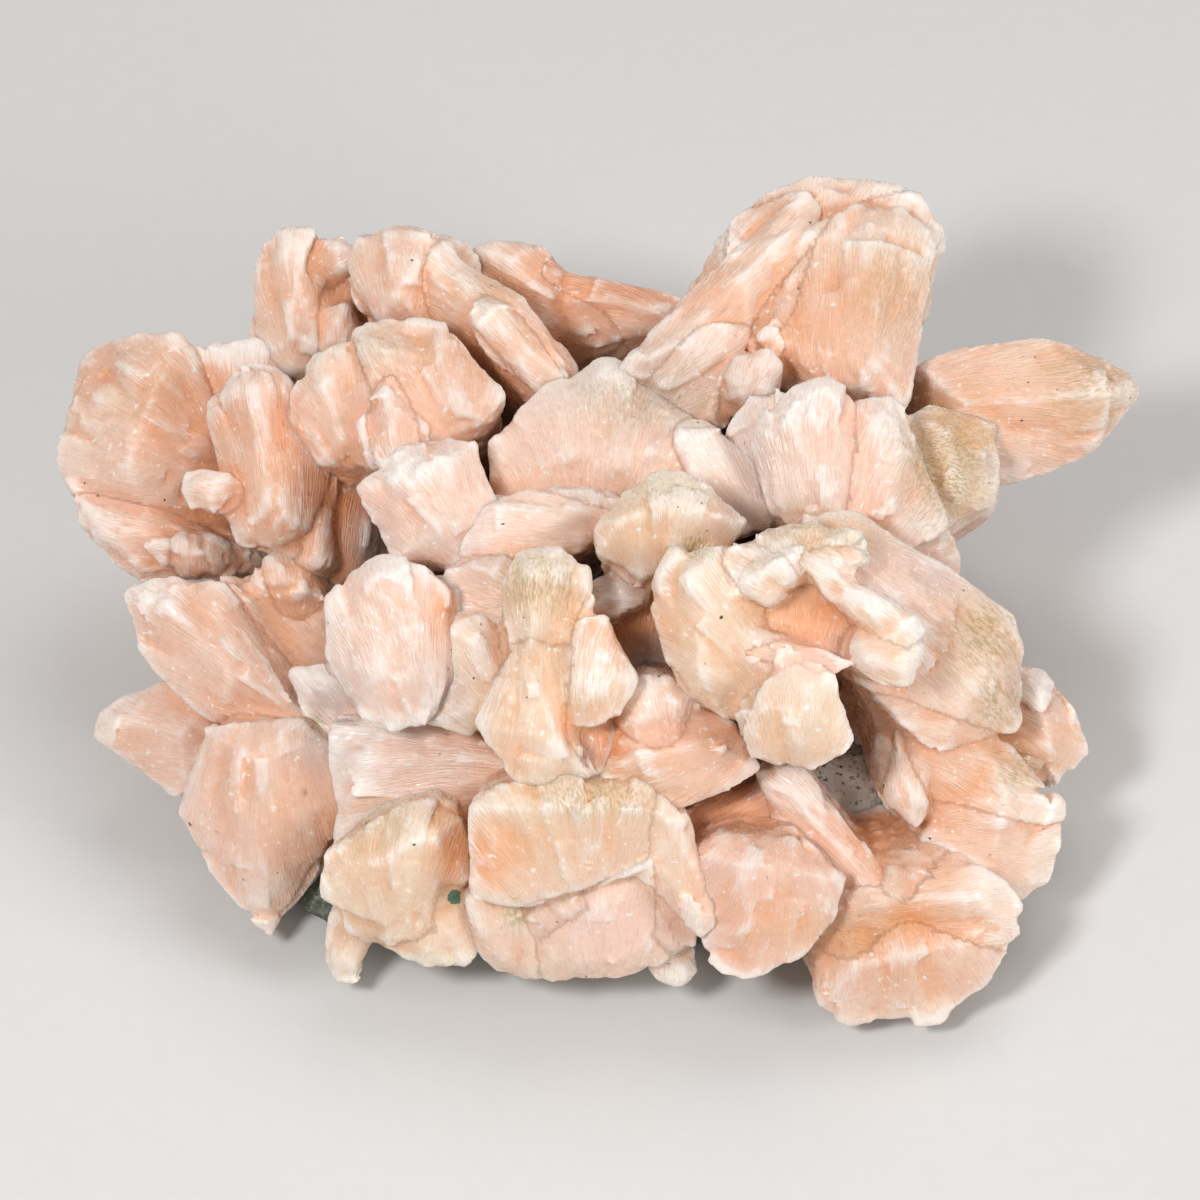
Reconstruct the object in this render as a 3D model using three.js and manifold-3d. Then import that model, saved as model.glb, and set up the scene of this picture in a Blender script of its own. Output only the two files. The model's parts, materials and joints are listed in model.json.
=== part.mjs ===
// A stilbite cluster: sheaf-shaped crystals of stilbite grown together on a lump of green basalt.
// Millimetres, +Z up. The stone's underside is flat and lies at Z = 0.
import * as THREE from "three";
import Module from "manifold-3d";
import { ConvexGeometry } from "three/addons/geometries/ConvexGeometry.js";
import { mergeVertices } from "three/addons/utils/BufferGeometryUtils.js";

const wasm = await Module();
wasm.setup();

// The front view
// Crystals are outlined as they are seen in one front view: x to the right, up, and near towards the viewer.
const VIEW_ELEVATION = THREE.MathUtils.degToRad(50);
const VIEW_DISTANCE = 1000;
const VIEW_HEIGHT = 35;
const FRAME_SHIFT = new THREE.Vector3(0.12, -2.79, 0);

// Growth
const GROWTH_GAP = 0.3;
const CAP_SIZE = 0.55;
const BACK_SIZE = 0.82;
const BACK_DEPTH = 8;
const ROOT_SIZE = 0.4;
const CORNER_STEP = 0.001;
const POLE_STEP = 1e-7;
const SMALLEST_FACE = 1e-4;
const SMALLEST_POLE_FACE = 1e-12;

const CRYSTAL_ROUGHNESS = 0.45;
const PEACH = 0xe9bfa2;
const PALE_PEACH = 0xf1d6c2;
const CREAM = 0xe8d2b0;
const DEEP_PEACH = 0xd99873;
const BASALT = 0x56685a;

// Turns a place in the front view into a point of the cluster.
function place(x, up, near) {
  const shrink = (VIEW_DISTANCE - near) / VIEW_DISTANCE;
  const height = up * shrink;
  const sin = Math.sin(VIEW_ELEVATION);
  const cos = Math.cos(VIEW_ELEVATION);
  return new THREE.Vector3(x * shrink, height * sin - near * cos, height * cos + near * sin + VIEW_HEIGHT);
}

function meanOf(face) {
  const sum = face.reduce((total, [x, up]) => [total[0] + x, total[1] + up], [0, 0]);
  return sum.map((value) => value / face.length);
}

// Every so many corners of a ring.
function every(step, list) {
  return list.filter((_, index) => index % step === step - 1);
}

// Corner points of one crystal: its outlined face, a raised cap or ridge on it, a narrower outline
// behind it, and a small copy of the outline at its root.
function sheaf({ face, near, slope = [0, 0], rise = 3, ridge = null, depth = BACK_DEPTH, root }) {
  const [midX, midUp] = meanOf(face);
  const level = (x, up) => near + slope[0] * (x - midX) + slope[1] * (up - midUp);
  const ring = (size, lift) => face.map(([x, up]) => {
    const px = midX + (x - midX) * size;
    const pup = midUp + (up - midUp) * size;
    return place(px, pup, level(px, pup) + lift);
  });
  const crest = ridge?.map(([x, up]) => place(x, up, level(x, up) + rise));
  const front = ring(1, 0);
  const cap = crest ?? every(2, ring(CAP_SIZE, rise));
  const back = every(2, ring(BACK_SIZE, -depth));
  const centre = place(midX, midUp, near);
  const start = place(...root);
  const foot = front.map((corner) => corner.clone().sub(centre).multiplyScalar(ROOT_SIZE).add(start));
  return [...front, ...cap, ...back, ...every(2, foot)];
}

// Corner points of a crystal on a side that the front view doesn't show: it widens from its root and
// ends in a wedge.
function sideSheaf({ root, tip, width, thickness, roll = 0 }) {
  const start = new THREE.Vector3(...root);
  const end = new THREE.Vector3(...tip);
  const axis = end.clone().sub(start).normalize();
  const across = new THREE.Vector3(-axis.y, axis.x, 0).normalize().applyAxisAngle(axis, roll);
  const over = new THREE.Vector3().crossVectors(axis, across);
  const section = (corners, along, wide, thick) => corners
    .map(([a, b]) => start.clone().lerp(end, along)
      .addScaledVector(across, a * wide / 2)
      .addScaledVector(over, b * thick / 2));
  const square = [[1, 1], [1, -1], [-1, 1], [-1, -1]];
  const hexagon = [[1, 0.5], [1, -0.5], [-1, 0.5], [-1, -0.5], [0, 1], [0, -1]];
  return [
    ...section(square, 0, width * 0.35, thickness * 0.5),
    ...section(hexagon, 0.8, width, thickness),
    ...section([[1, 0], [-1, 0]], 1, width * 0.6, 0),
  ];
}

// Same corners once, on a fine grid, so that no two lie almost together.
function tidyCorners(points, step) {
  const seen = new Map();
  for (const point of points) {
    const snapped = point.clone().divideScalar(step).round().multiplyScalar(step);
    seen.set(snapped.toArray().join(), snapped);
  }
  return [...seen.values()];
}

// Each face of a convex body around the origin, as the point that stands for its plane.
function facePoles(points, outwards, smallest) {
  const corners = new ConvexGeometry(points).getAttribute("position");
  const poles = [];
  const triangle = new THREE.Triangle();
  const plane = new THREE.Plane();
  for (let i = 0; i < corners.count; i += 3) {
    triangle.setFromAttributeAndIndices(corners, i, i + 1, i + 2);
    if (triangle.getArea() > smallest) {
      triangle.getPlane(plane);
      poles.push(plane.normal.clone().divideScalar(outwards - plane.constant));
    }
  }
  return poles;
}

// The same convex body with every face moved out by a gap.
function grown(points, gap) {
  const centre = new THREE.Box3().setFromPoints(points).getCenter(new THREE.Vector3());
  const around = tidyCorners(points, CORNER_STEP).map((point) => point.sub(centre));
  const poles = tidyCorners(facePoles(around, gap, SMALLEST_FACE), POLE_STEP);
  const corners = facePoles(poles, 0, SMALLEST_POLE_FACE);
  return corners.map((point) => point.add(centre));
}

function convexSolid(points) {
  const hull = new ConvexGeometry(tidyCorners(points, CORNER_STEP));
  hull.deleteAttribute("normal");
  hull.deleteAttribute("uv");
  const merged = mergeVertices(hull, CORNER_STEP);
  const vertProperties = new Float32Array(merged.getAttribute("position").array);
  const triVerts = new Uint32Array(merged.index.array);
  return new wasm.Manifold(new wasm.Mesh({ numProp: 3, vertProperties, triVerts }));
}

function joined(solids) {
  return solids.reduce((whole, solid) => whole.add(solid));
}

function largestPart(solid) {
  const parts = solid.decompose();
  return parts.reduce((best, part) => (part.volume() > best.volume() ? part : best));
}

function meshOf(name, solid, color) {
  const { vertProperties, triVerts } = solid.getMesh();
  const geometry = new THREE.BufferGeometry();
  geometry.setAttribute("position", new THREE.BufferAttribute(vertProperties, 3));
  geometry.setIndex(new THREE.BufferAttribute(triVerts, 1));
  const material = new THREE.MeshStandardMaterial({ color, roughness: CRYSTAL_ROUGHNESS, metalness: 0 });
  material.flatShading = true;
  const mesh = new THREE.Mesh(geometry, material);
  mesh.name = name;
  return mesh;
}

// The stone
// Lumps of basalt: an outline on the ground, and a smaller one at the lump's height.
const SLAB_OUTLINE = [
  [-50, -28], [-42, -36], [-18, -42], [10, -41], [40, -36], [52, -22], [56, 2],
  [50, 25], [30, 41], [0, 46], [-30, 41], [-48, 26], [-56, 0],
];
const STONE_LUMPS = [
  { centre: [0, 2], radii: [56, 43], foot: 0, waist: 6, height: 13, top: 0.88, outline: SLAB_OUTLINE },
  { centre: [0, 4], radii: [45, 36], foot: 2, waist: 17, height: 39, top: 0.6, corners: 9, turn: 0.2 },
  { centre: [33, -16], radii: [17, 20], foot: 3, waist: 15, height: 26, top: 0.6, corners: 7, turn: 0.4 },
  { centre: [2, 31], radii: [29, 15], foot: 3, waist: 20, height: 33, top: 0.6, corners: 8, turn: 0.3 },
  { centre: [3, 36], radii: [13, 9], foot: 20, waist: 34, height: 42, top: 0.5, corners: 7, turn: 0.6 },
];
const LUMP_FOOT_SIZE = 0.94;
const LUMP_SLANT = 1.6;

// Corner points of one lump: a ring at its foot, a wider one at its waist and a smaller one on top,
// which dips a little at every third corner.
function lumpPoints({ centre, radii, foot, waist, height, top, outline = null, corners = 0, turn = 0 }) {
  const ring = outline ?? Array.from({ length: corners }, (_, i) => {
    const angle = turn + (i / corners) * 2 * Math.PI;
    return [centre[0] + radii[0] * Math.cos(angle), centre[1] + radii[1] * Math.sin(angle)];
  });
  const level = (size, z, slant) => ring.map(([x, y], i) => new THREE.Vector3(
    centre[0] + (x - centre[0]) * size,
    centre[1] + (y - centre[1]) * size,
    z - (i % 3) * slant,
  ));
  return [...level(LUMP_FOOT_SIZE, foot, 0), ...level(1, waist, LUMP_SLANT), ...level(top, height, LUMP_SLANT)];
}

// The crystals
// Each group below is a bunch of sheaves that share a root and run into each other.

function crownSheaf() {
  return [
    // front blade of the fan
    sheaf({
      face: [[31, 54], [38, 58.5], [45, 58.3], [50, 53], [47, 36], [45, 28.5], [34, 32], [24.5, 39]],
      near: -2, slope: [-0.15, -0.35], rise: 4,
      ridge: [[41, 53], [37, 46], [41, 35]], root: [12, 32, -24],
    }),
    // back crest
    sheaf({
      face: [
        [18.5, 50.5], [19.3, 56], [27, 61.8], [34, 62.9], [42.5, 61.9], [47.8, 59.6],
        [51.7, 52], [48, 41], [30, 44],
      ],
      near: -12, slope: [-0.05, -0.2], rise: 3, root: [12, 32, -34],
    }),
    // left ridge blade
    sheaf({
      face: [
        [3, 34.5], [13, 45], [18, 50], [25, 56], [30.5, 60], [33, 55], [27, 48],
        [20, 37], [10, 31],
      ],
      near: -2, slope: [-0.2, -0.45], rise: 3, ridge: [[12, 38], [27, 54]], root: [5, 28, -22],
    }),
    // small pale blades
    sheaf({
      face: [[20, 36], [25, 37], [27, 34], [26.7, 30], [24, 28.5], [19, 31], [18.5, 33.5]],
      near: 7, slope: [0, -0.2], rise: 2, root: [16, 24, -14],
    }),
    // grey foot of the fan
    sheaf({
      face: [[3, 34.5], [10, 39], [18, 37], [20, 31], [18.5, 26], [13, 27], [7, 31]],
      near: 2, slope: [0, -0.3], rise: 2, root: [10, 22, -16],
    }),
  ];
}

function rightPointSheaf() {
  return [
    sheaf({
      face: [
        [47, 35], [54, 38], [65.5, 39], [73, 35.9], [79.2, 32.8], [80, 30], [77.5, 27.7],
        [72, 21.3], [66, 18.6], [58.3, 17.3], [51, 21],
      ],
      near: -8, slope: [-0.15, 0.05], rise: 6,
      ridge: [[54, 29], [68, 30], [76, 31]], depth: 10, root: [30, 18, -34],
    }),
  ];
}

function oliveSheaf() {
  return [
    sheaf({
      face: [
        [45, 27], [49, 28.5], [54, 28], [58.5, 26], [59, 22], [58.3, 17.3], [57.2, 14.5],
        [51.7, 10.8], [48, 14],
      ],
      near: 2, slope: [-0.35, -0.1], rise: 4, ridge: [[51, 25], [53, 17]], root: [32, 10, -22],
    }),
  ];
}

function whiteFan() {
  return [
    sheaf({
      face: [
        [22.5, 23], [25, 27.5], [29, 31.5], [33, 32.3], [37.5, 30], [41, 20], [37, 11],
        [29, 10], [25, 14],
      ],
      near: 15, slope: [0, -0.1], rise: 4, ridge: [[28, 27], [33, 28], [33, 16]], root: [30, 6, -14],
    }),
    sheaf({
      face: [
        [36.5, 30], [43, 29.2], [46, 27], [47.5, 22], [49.5, 16], [51.5, 10.8], [45, 7],
        [38, 10], [35, 20],
      ],
      near: 13, slope: [-0.2, -0.1], rise: 4, ridge: [[41, 26], [44, 24], [43, 14]], root: [31, 6, -14],
    }),
    // thin clear blade on the left
    sheaf({
      face: [[19.5, 20], [19, 25], [22, 30], [28, 31], [27, 18], [22, 16]],
      near: 9, rise: 1, root: [28, 10, -12],
    }),
  ];
}

function hollowBlock() {
  return [
    // left wall, top blade and lower right wall round a hollow
    sheaf({
      face: [[-50.7, 51.5], [-47.5, 54.7], [-42, 54], [-41, 36], [-46, 33.5], [-51.6, 38.5]],
      near: -14, slope: [0.15, -0.2], rise: 3, ridge: [[-45, 51], [-46, 40]], root: [-26, 22, -34],
    }),
    sheaf({
      face: [[-44, 54.3], [-38, 53.8], [-36.3, 52], [-37, 48.3], [-43, 49]],
      near: -15, rise: 2, root: [-26, 26, -34],
    }),
    sheaf({
      face: [[-42, 43.5], [-37, 44.5], [-36, 41], [-36, 37], [-41, 34.5], [-44, 36]],
      near: -12, rise: 2, root: [-26, 20, -30],
    }),
  ];
}

function upperLeftSheaves() {
  return [
    // upper lobe
    sheaf({
      face: [
        [-38, 50], [-36, 53.8], [-32, 55.1], [-26.5, 54.8], [-22.5, 53], [-22, 51],
        [-27, 41.5], [-33, 42], [-37, 46],
      ],
      near: -8, slope: [0.1, -0.3], rise: 4,
      ridge: [[-31, 51], [-27, 50], [-30, 45]], root: [-18, 22, -32],
    }),
    // clear blade behind it
    sheaf({
      face: [[-30, 55], [-23, 54.3], [-18, 52], [-17, 48], [-26, 46]],
      near: -16, rise: 1, depth: 4, root: [-16, 26, -32],
    }),
    // long ridge that runs down to the middle
    sheaf({
      face: [
        [-29, 51], [-25, 51.7], [-11.5, 45], [-7, 38.5], [-2.3, 33], [-9, 32.5],
        [-22, 40], [-27.5, 42],
      ],
      near: -4, slope: [0.25, -0.2], rise: 4,
      ridge: [[-24, 47], [-12, 41], [-6, 36]], root: [-10, 18, -26],
    }),
    // lobe in front of the ridge
    sheaf({
      face: [[-19.5, 41], [-17, 43.3], [-14, 43], [-9, 36.5], [-4, 33], [-10, 31], [-16, 36]],
      near: 2, slope: [0.2, -0.2], rise: 2, root: [-8, 18, -20],
    }),
  ];
}

function backBlade() {
  return [
    sheaf({
      face: [[-19, 51.8], [-13, 52.7], [-8.3, 52.9], [-5.5, 49.4], [-5, 39], [-9, 37], [-15, 44]],
      near: -18, slope: [0, -0.25], rise: 3, ridge: [[-13, 50], [-8, 44]], root: [-4, 26, -38],
    }),
    sheaf({
      face: [[-8, 49], [0, 47.7], [13, 45], [11, 41], [0, 37.5], [-8, 38]],
      near: -18, slope: [0, -0.25], rise: 2, ridge: [[-4, 45], [9, 43]], root: [-2, 26, -38],
    }),
  ];
}

function leftSheaves() {
  return [
    // big outer lobe
    sheaf({
      face: [
        [-73.8, 38.4], [-62, 39.2], [-57, 26], [-66, 11], [-78, 14], [-80, 20],
        [-79.2, 27], [-76.5, 35.5],
      ],
      near: -12, slope: [0.25, -0.15], rise: 5,
      ridge: [[-70, 34], [-65, 33], [-70, 20]], depth: 10, root: [-36, 12, -30],
    }),
    // shell under it
    sheaf({
      face: [[-80, 18.5], [-77.5, 12.5], [-71, 5], [-67.8, 2.7], [-61.5, 3], [-60, 10], [-70, 14]],
      near: -9, slope: [0.25, 0.1], rise: 3, depth: 10, root: [-36, 8, -28],
    }),
    sheaf({
      face: [[-68, 8.5], [-62, 10.5], [-57, 9.3], [-55.7, 7], [-58, 3.2], [-62, 2.9], [-66, 6]],
      near: -4, rise: 2, root: [-38, 6, -22],
    }),
    // pale pieces behind
    sheaf({
      face: [[-60.5, 34], [-57.5, 37.5], [-51, 38.2], [-45.5, 33.5], [-49, 28], [-58, 28]],
      near: -13, rise: 2, depth: 5, root: [-34, 16, -30],
    }),
  ];
}

function tallLeftSheaf() {
  return [
    // tall lobe
    sheaf({
      face: [
        [-58, 29], [-55, 33], [-52.5, 34.7], [-49, 34.3], [-46, 32], [-41.5, 18],
        [-43.5, 10.5], [-49, 8], [-54, 8.5], [-56.5, 20],
      ],
      near: 1, slope: [0.15, -0.15], rise: 5,
      ridge: [[-52, 31], [-48, 22], [-49, 14]], root: [-32, 10, -24],
    }),
    // nub on its left
    sheaf({
      face: [[-63, 16], [-61.5, 18.5], [-59, 19.2], [-55, 18.5], [-54.5, 15], [-57, 12.8], [-61, 13.3]],
      near: 4, slope: [0.1, 0], rise: 2, depth: 4, root: [-48, 12, -8],
    }),
    // deep column on its right
    sheaf({
      face: [[-43, 22], [-36, 19], [-34.5, 12], [-36, 3], [-41, 1.5], [-44, 8]],
      near: -6, rise: 2, root: [-30, 6, -24],
    }),
    sheaf({
      face: [[-46.5, 10], [-41, 11.5], [-39.5, 5], [-43, 3.5], [-47, 5]],
      near: 0, rise: 2, root: [-34, 4, -18],
    }),
  ];
}

function facetedSheaf() {
  return [
    sheaf({
      face: [
        [-40, 36.5], [-36, 39.5], [-32, 41.5], [-26, 40.2], [-22, 40], [-14, 30.5],
        [-18, 26], [-26, 23], [-34, 26],
      ],
      near: 6, slope: [0.05, -0.35], rise: 4,
      ridge: [[-32, 37], [-24, 36], [-22, 30]], root: [-20, 12, -22],
    }),
    sheaf({
      face: [[-43, 34.8], [-38, 37], [-33, 30], [-33, 20], [-42, 20], [-46, 27], [-45.8, 31]],
      near: 5, slope: [0.15, -0.2], rise: 3, ridge: [[-41, 32], [-38, 24]], root: [-22, 10, -22],
    }),
    sheaf({
      face: [[-36, 26], [-33.5, 30], [-32, 32.5], [-25, 26], [-26, 23], [-31, 19.5], [-34, 20]],
      near: 12, slope: [0.1, -0.2], rise: 2,
      ridge: [[-31, 29], [-31, 23]], depth: 5, root: [-22, 12, -8],
    }),
  ];
}

function whiteTuft() {
  return [
    sheaf({
      face: [[-36, 16.5], [-30, 21.6], [-22, 24.7], [-18.5, 23.5], [-15.5, 15], [-20, 6], [-31, 5.5]],
      near: 17, slope: [0.05, -0.2], rise: 4,
      ridge: [[-29, 18], [-22, 21], [-24, 10]], root: [-20, 4, -12],
    }),
  ];
}

function peakSheaf() {
  return [
    sheaf({
      face: [
        [0.5, 35.2], [-10, 30], [-16.5, 24], [-17, 18], [-8, 13], [6, 14], [16, 19],
        [18.5, 24], [9, 30],
      ],
      near: 8, slope: [0, -0.35], rise: 4, ridge: [[0, 30], [-4, 22], [8, 22]], root: [0, 6, -16],
    }),
    // pale shelf in front
    sheaf({
      face: [[-25, 9], [-18, 15.5], [-2, 17.5], [4, 15], [-3, 7], [-22, 3]],
      near: 18, slope: [0, -0.1], rise: 3, root: [-6, 0, -12],
    }),
    sheaf({
      face: [[-24, 5], [-14, 7.5], [-10, 2], [-14, -5], [-24, -4]],
      near: 23, slope: [0, 0.05], rise: 3, root: [-10, -4, -8],
    }),
    // grey blade on the right
    sheaf({
      face: [[12, 24.5], [18, 24.5], [23, 19], [27, 12], [20, 9], [12, 15]],
      near: 11, slope: [-0.1, -0.2], rise: 2, root: [8, 6, -12],
    }),
  ];
}

function roughKnob() {
  return [
    sheaf({
      face: [[-1, 11], [3, 15.5], [8, 19], [15, 18.3], [22, 11.5], [18, 7], [6, 3.5], [-0.5, 7]],
      near: 25, slope: [0, -0.1], rise: 4, ridge: [[3, 12], [9, 15], [16, 13]], root: [8, 0, -8],
    }),
    // grey lens under it
    sheaf({
      face: [[-1, 3], [4, 4.5], [8, 3], [7.5, -0.5], [1, -3.5], [-4, -2]],
      near: 22, rise: 2, root: [2, -4, -6],
    }),
    // deep crystal in the hole
    sheaf({
      face: [[-1, 1], [9, 2], [11, -6], [10, -13], [4, -13], [0, -6]],
      near: 15, rise: 1, root: [4, -6, -6],
    }),
  ];
}

function flowerSheaf() {
  return [
    // left lobe
    sheaf({
      face: [
        [7.5, 1], [11, 6.8], [20, 8.5], [24, 4], [24, -11], [22, -16], [18.5, -18],
        [13.5, -14.5], [9.5, -8],
      ],
      near: 33, slope: [0.1, 0.05], rise: 4, ridge: [[13, 3], [16, 0], [15, -11]], root: [16, -4, -6],
    }),
    // top edge
    sheaf({
      face: [[18.5, 6], [24, 10], [31, 11.5], [39, 10], [41, 6], [34, 3], [24, 3]],
      near: 33, slope: [0, -0.15], rise: 3, root: [26, 2, -6],
    }),
    // white crest round the hollow
    sheaf({
      face: [[19.8, 1], [20.5, 4], [24, 6.5], [29, 7.7], [31, 8.3], [30, 3.5], [25, -1]],
      near: 37, slope: [0, 0], rise: 2, depth: 5, root: [24, -2, 8],
    }),
    sheaf({
      face: [[30, 8], [34, 4.7], [41.5, 0.5], [47, -3.5], [47, -6], [40, -5], [33, 1]],
      near: 35, slope: [-0.15, 0], rise: 2, depth: 5, root: [30, -4, 8],
    }),
    sheaf({
      face: [[38, -4], [44, -4], [47, -6.5], [46, -12], [42, -13], [37, -9.5]],
      near: 34, slope: [-0.2, 0], rise: 2, depth: 5, root: [34, -8, 6],
    }),
    // orange floor of the hollow and its front rim
    sheaf({
      face: [[24, 2], [33, 4], [40, -3], [38, -9], [29, -10], [21, -8], [20, -3]],
      near: 31, rise: 1, root: [28, -6, -2],
    }),
    sheaf({
      face: [[21, -4], [26, -4.5], [33, -7], [37, -9.5], [33, -12], [24, -12], [20, -9]],
      near: 35, rise: 2, depth: 5, root: [26, -10, 0],
    }),
    // round cup
    sheaf({
      face: [
        [19.8, -17], [24, -12], [28.5, -9.5], [34.5, -9.8], [37.8, -20.5], [36, -22.7],
        [31, -25.4], [22, -23.5],
      ],
      near: 38, slope: [0, 0.1], rise: 4, ridge: [[25, -16], [31, -16], [29, -20]], root: [26, -14, 2],
    }),
  ];
}

function rightRidgeSheaves() {
  return [
    // long ridge with its end facet at the right
    sheaf({
      face: [
        [30, 12.5], [38, 13.3], [54.5, 1.2], [61.5, -2.3], [63, -7], [62.6, -19.5],
        [49, -22.5], [38, -12],
      ],
      near: 19, slope: [-0.5, 0.05], rise: 4,
      ridge: [[40, 4], [52, -8], [57, -12]], root: [30, -2, -20],
    }),
    // grey flank under the fan
    sheaf({
      face: [[40, 12], [51.7, 11], [52.6, 7], [54.7, 0.8], [48, 0], [40, 4]],
      near: 8, slope: [-0.3, 0], rise: 2, root: [30, 4, -18],
    }),
    // far knob
    sheaf({
      face: [
        [62, -10], [65.8, -10.6], [67, -13.3], [70.2, -16.5], [72, -20.5], [72.3, -23],
        [70.7, -25.2], [65.5, -28], [59, -25], [58, -14],
      ],
      near: 1, slope: [-0.3, 0.1], rise: 4, ridge: [[65, -14], [67, -22]], root: [34, -10, -24],
    }),
    // lower right mass
    sheaf({
      face: [[38, -12], [44, -16], [52, -20], [60, -21], [66, -28], [60, -34], [50, -34], [43, -24]],
      near: 12, slope: [-0.25, 0.1], rise: 3, root: [32, -14, -18],
    }),
    sheaf({
      face: [
        [58, -23], [66, -28], [68.3, -30], [67.8, -36], [66.4, -41.8], [62.7, -44.7],
        [54, -44], [46, -41], [49, -33],
      ],
      near: 10, slope: [-0.25, 0.2], rise: 4, ridge: [[60, -29], [58, -39]], root: [34, -20, -16],
    }),
    // finger
    sheaf({
      face: [[41, -19.5], [45, -21], [48.8, -23], [49.3, -32], [47, -34.2], [43, -31], [41, -26]],
      near: 16, rise: 2, depth: 5, root: [38, -18, -4],
    }),
  ];
}

function bottomRightSheaf() {
  return [
    sheaf({
      face: [
        [31.5, -52], [35, -46], [47, -44], [62.6, -45], [63.3, -50], [57, -57],
        [49.8, -62], [36.5, -62.7], [32.2, -60.3],
      ],
      near: 16, slope: [-0.1, 0.35], rise: 4,
      ridge: [[38, -54], [54, -51]], depth: 5, root: [28, -30, -6],
    }),
    // upper shell
    sheaf({
      face: [
        [38, -42], [47, -39.5], [57, -40], [62, -44], [62, -49], [50, -49.5],
        [40, -50.5], [35.5, -47],
      ],
      near: 19, slope: [-0.15, 0.2], rise: 3, ridge: [[44, -44], [56, -44]], root: [30, -26, -8],
    }),
    // long pink blade
    sheaf({
      face: [
        [22.5, -25.5], [30, -25.5], [36, -33], [44, -42], [44.5, -46], [40, -46],
        [34, -40], [27, -33],
      ],
      near: 20, slope: [-0.1, 0.1], rise: 2,
      ridge: [[28, -29], [42, -44]], depth: 5, root: [28, -22, -4],
    }),
  ];
}

function frontRightSheaf() {
  return [
    sheaf({
      face: [
        [13.5, -38], [18, -35], [29, -35], [36.3, -41.5], [35, -47], [31, -52],
        [23.2, -55.7], [15, -51.8],
      ],
      near: 25, slope: [0, 0.3], rise: 4, ridge: [[20, -39], [28, -40], [23, -48]], root: [20, -26, -8],
    }),
    // orange striated flank above it
    sheaf({
      face: [[11, -34], [12.5, -31], [19, -28], [25, -26.5], [30, -34], [24, -38], [14, -40]],
      near: 17, rise: 2, root: [18, -22, -8],
    }),
  ];
}

function frontBlock() {
  return [
    sheaf({
      face: [
        [-19.5, -31], [-12, -26.5], [6, -27.3], [12.4, -32.5], [10, -38], [-4, -43],
        [-12, -45.5], [-19.5, -44],
      ],
      near: 30, slope: [0, 0.2], rise: 3, ridge: [[-13, -31], [5, -31]], root: [-4, -20, -6],
    }),
    sheaf({
      face: [
        [6, -28], [12.4, -32.3], [11.3, -34], [14, -39.5], [18, -48], [15, -50],
        [9, -44], [4, -38],
      ],
      near: 27, slope: [0, 0.2], rise: 2, root: [2, -22, -6],
    }),
    // pink striated curtain
    sheaf({
      face: [
        [-12, -45], [-4, -41.5], [6, -41], [14.5, -51], [9, -53.8], [4, -56],
        [-7, -56.6], [-11, -55.8],
      ],
      near: 20, slope: [0, 0.5], rise: 2, root: [0, -26, -8],
    }),
    sheaf({
      face: [[-19.5, -44], [-10, -44.5], [-8, -56.2], [-15, -55.3], [-18, -52.5], [-19, -49]],
      near: 18, slope: [0, 0.5], rise: 2, root: [-6, -26, -8],
    }),
    // small foot
    sheaf({
      face: [[6.5, -53.5], [12, -49], [14.3, -51.5], [13.5, -54.8], [11.5, -56.2], [9, -55.4]],
      near: 15, slope: [0, 0.3], rise: 1, depth: 4, root: [4, -36, 0],
    }),
  ];
}

function frontLeftSheaf() {
  return [
    sheaf({
      face: [
        [-41, -38], [-30.5, -31], [-25, -30], [-20, -32.5], [-19, -42], [-25, -47],
        [-34, -48], [-41.5, -44],
      ],
      near: 22, slope: [0, 0.2], rise: 4, ridge: [[-33, -39], [-25, -35]], root: [-20, -22, -8],
    }),
    sheaf({
      face: [
        [-38, -43], [-28, -43], [-19.5, -44], [-18, -50], [-19.5, -54], [-25, -54.3],
        [-28, -53.3], [-31, -50.5], [-38, -49],
      ],
      near: 17, slope: [0, 0.35], rise: 3, root: [-18, -26, -8],
    }),
    // foot
    sheaf({
      face: [[-40.5, -46], [-33, -48.5], [-34, -52.3], [-36, -56.6], [-39, -57.2], [-41.3, -53.7]],
      near: 11, slope: [0, 0.4], rise: 2, depth: 4, root: [-30, -36, 0],
    }),
  ];
}

function lowerLeftSheaves() {
  return [
    // upper left lobe with the white tip
    sheaf({
      face: [
        [-70.9, 0], [-69.8, 2], [-64, 2.9], [-56, 2.6], [-52, -4], [-44.5, -18],
        [-57, -18.5], [-63, -14], [-68.4, -6],
      ],
      near: 5, slope: [0.25, 0], rise: 4, ridge: [[-64, -1], [-54, -11]], root: [-34, -6, -22],
    }),
    // pink striated flank behind
    sheaf({
      face: [[-57, 3.9], [-50, 4], [-41, 1], [-38.5, -9], [-45, -14], [-52, -6]],
      near: 0, slope: [0.1, 0], rise: 2, root: [-32, -4, -24],
    }),
    sheaf({
      face: [[-51, 7.7], [-47, 6.8], [-43, 4.5], [-40.8, 0], [-47, -1], [-52, 2]],
      near: 2, rise: 2, depth: 4, root: [-36, -2, -16],
    }),
    // left point
    sheaf({
      face: [
        [-74, -20], [-73.5, -17], [-70, -14.6], [-65, -11.7], [-58, -14], [-56, -20],
        [-60, -27], [-63, -29.2], [-69, -25.2],
      ],
      near: -4, slope: [0.3, 0.1], rise: 3,
      ridge: [[-70, -18], [-62, -20]], depth: 6, root: [-36, -14, -18],
    }),
    // big lower lobe
    sheaf({
      face: [
        [-58.5, -19], [-45, -17.8], [-40, -22], [-37, -29], [-41, -38], [-48.8, -49],
        [-57, -41], [-63, -31.5],
      ],
      near: 9, slope: [0.15, 0.3], rise: 5,
      ridge: [[-52, -23], [-47, -33], [-50, -41]], root: [-34, -20, -14],
    }),
  ];
}

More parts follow.
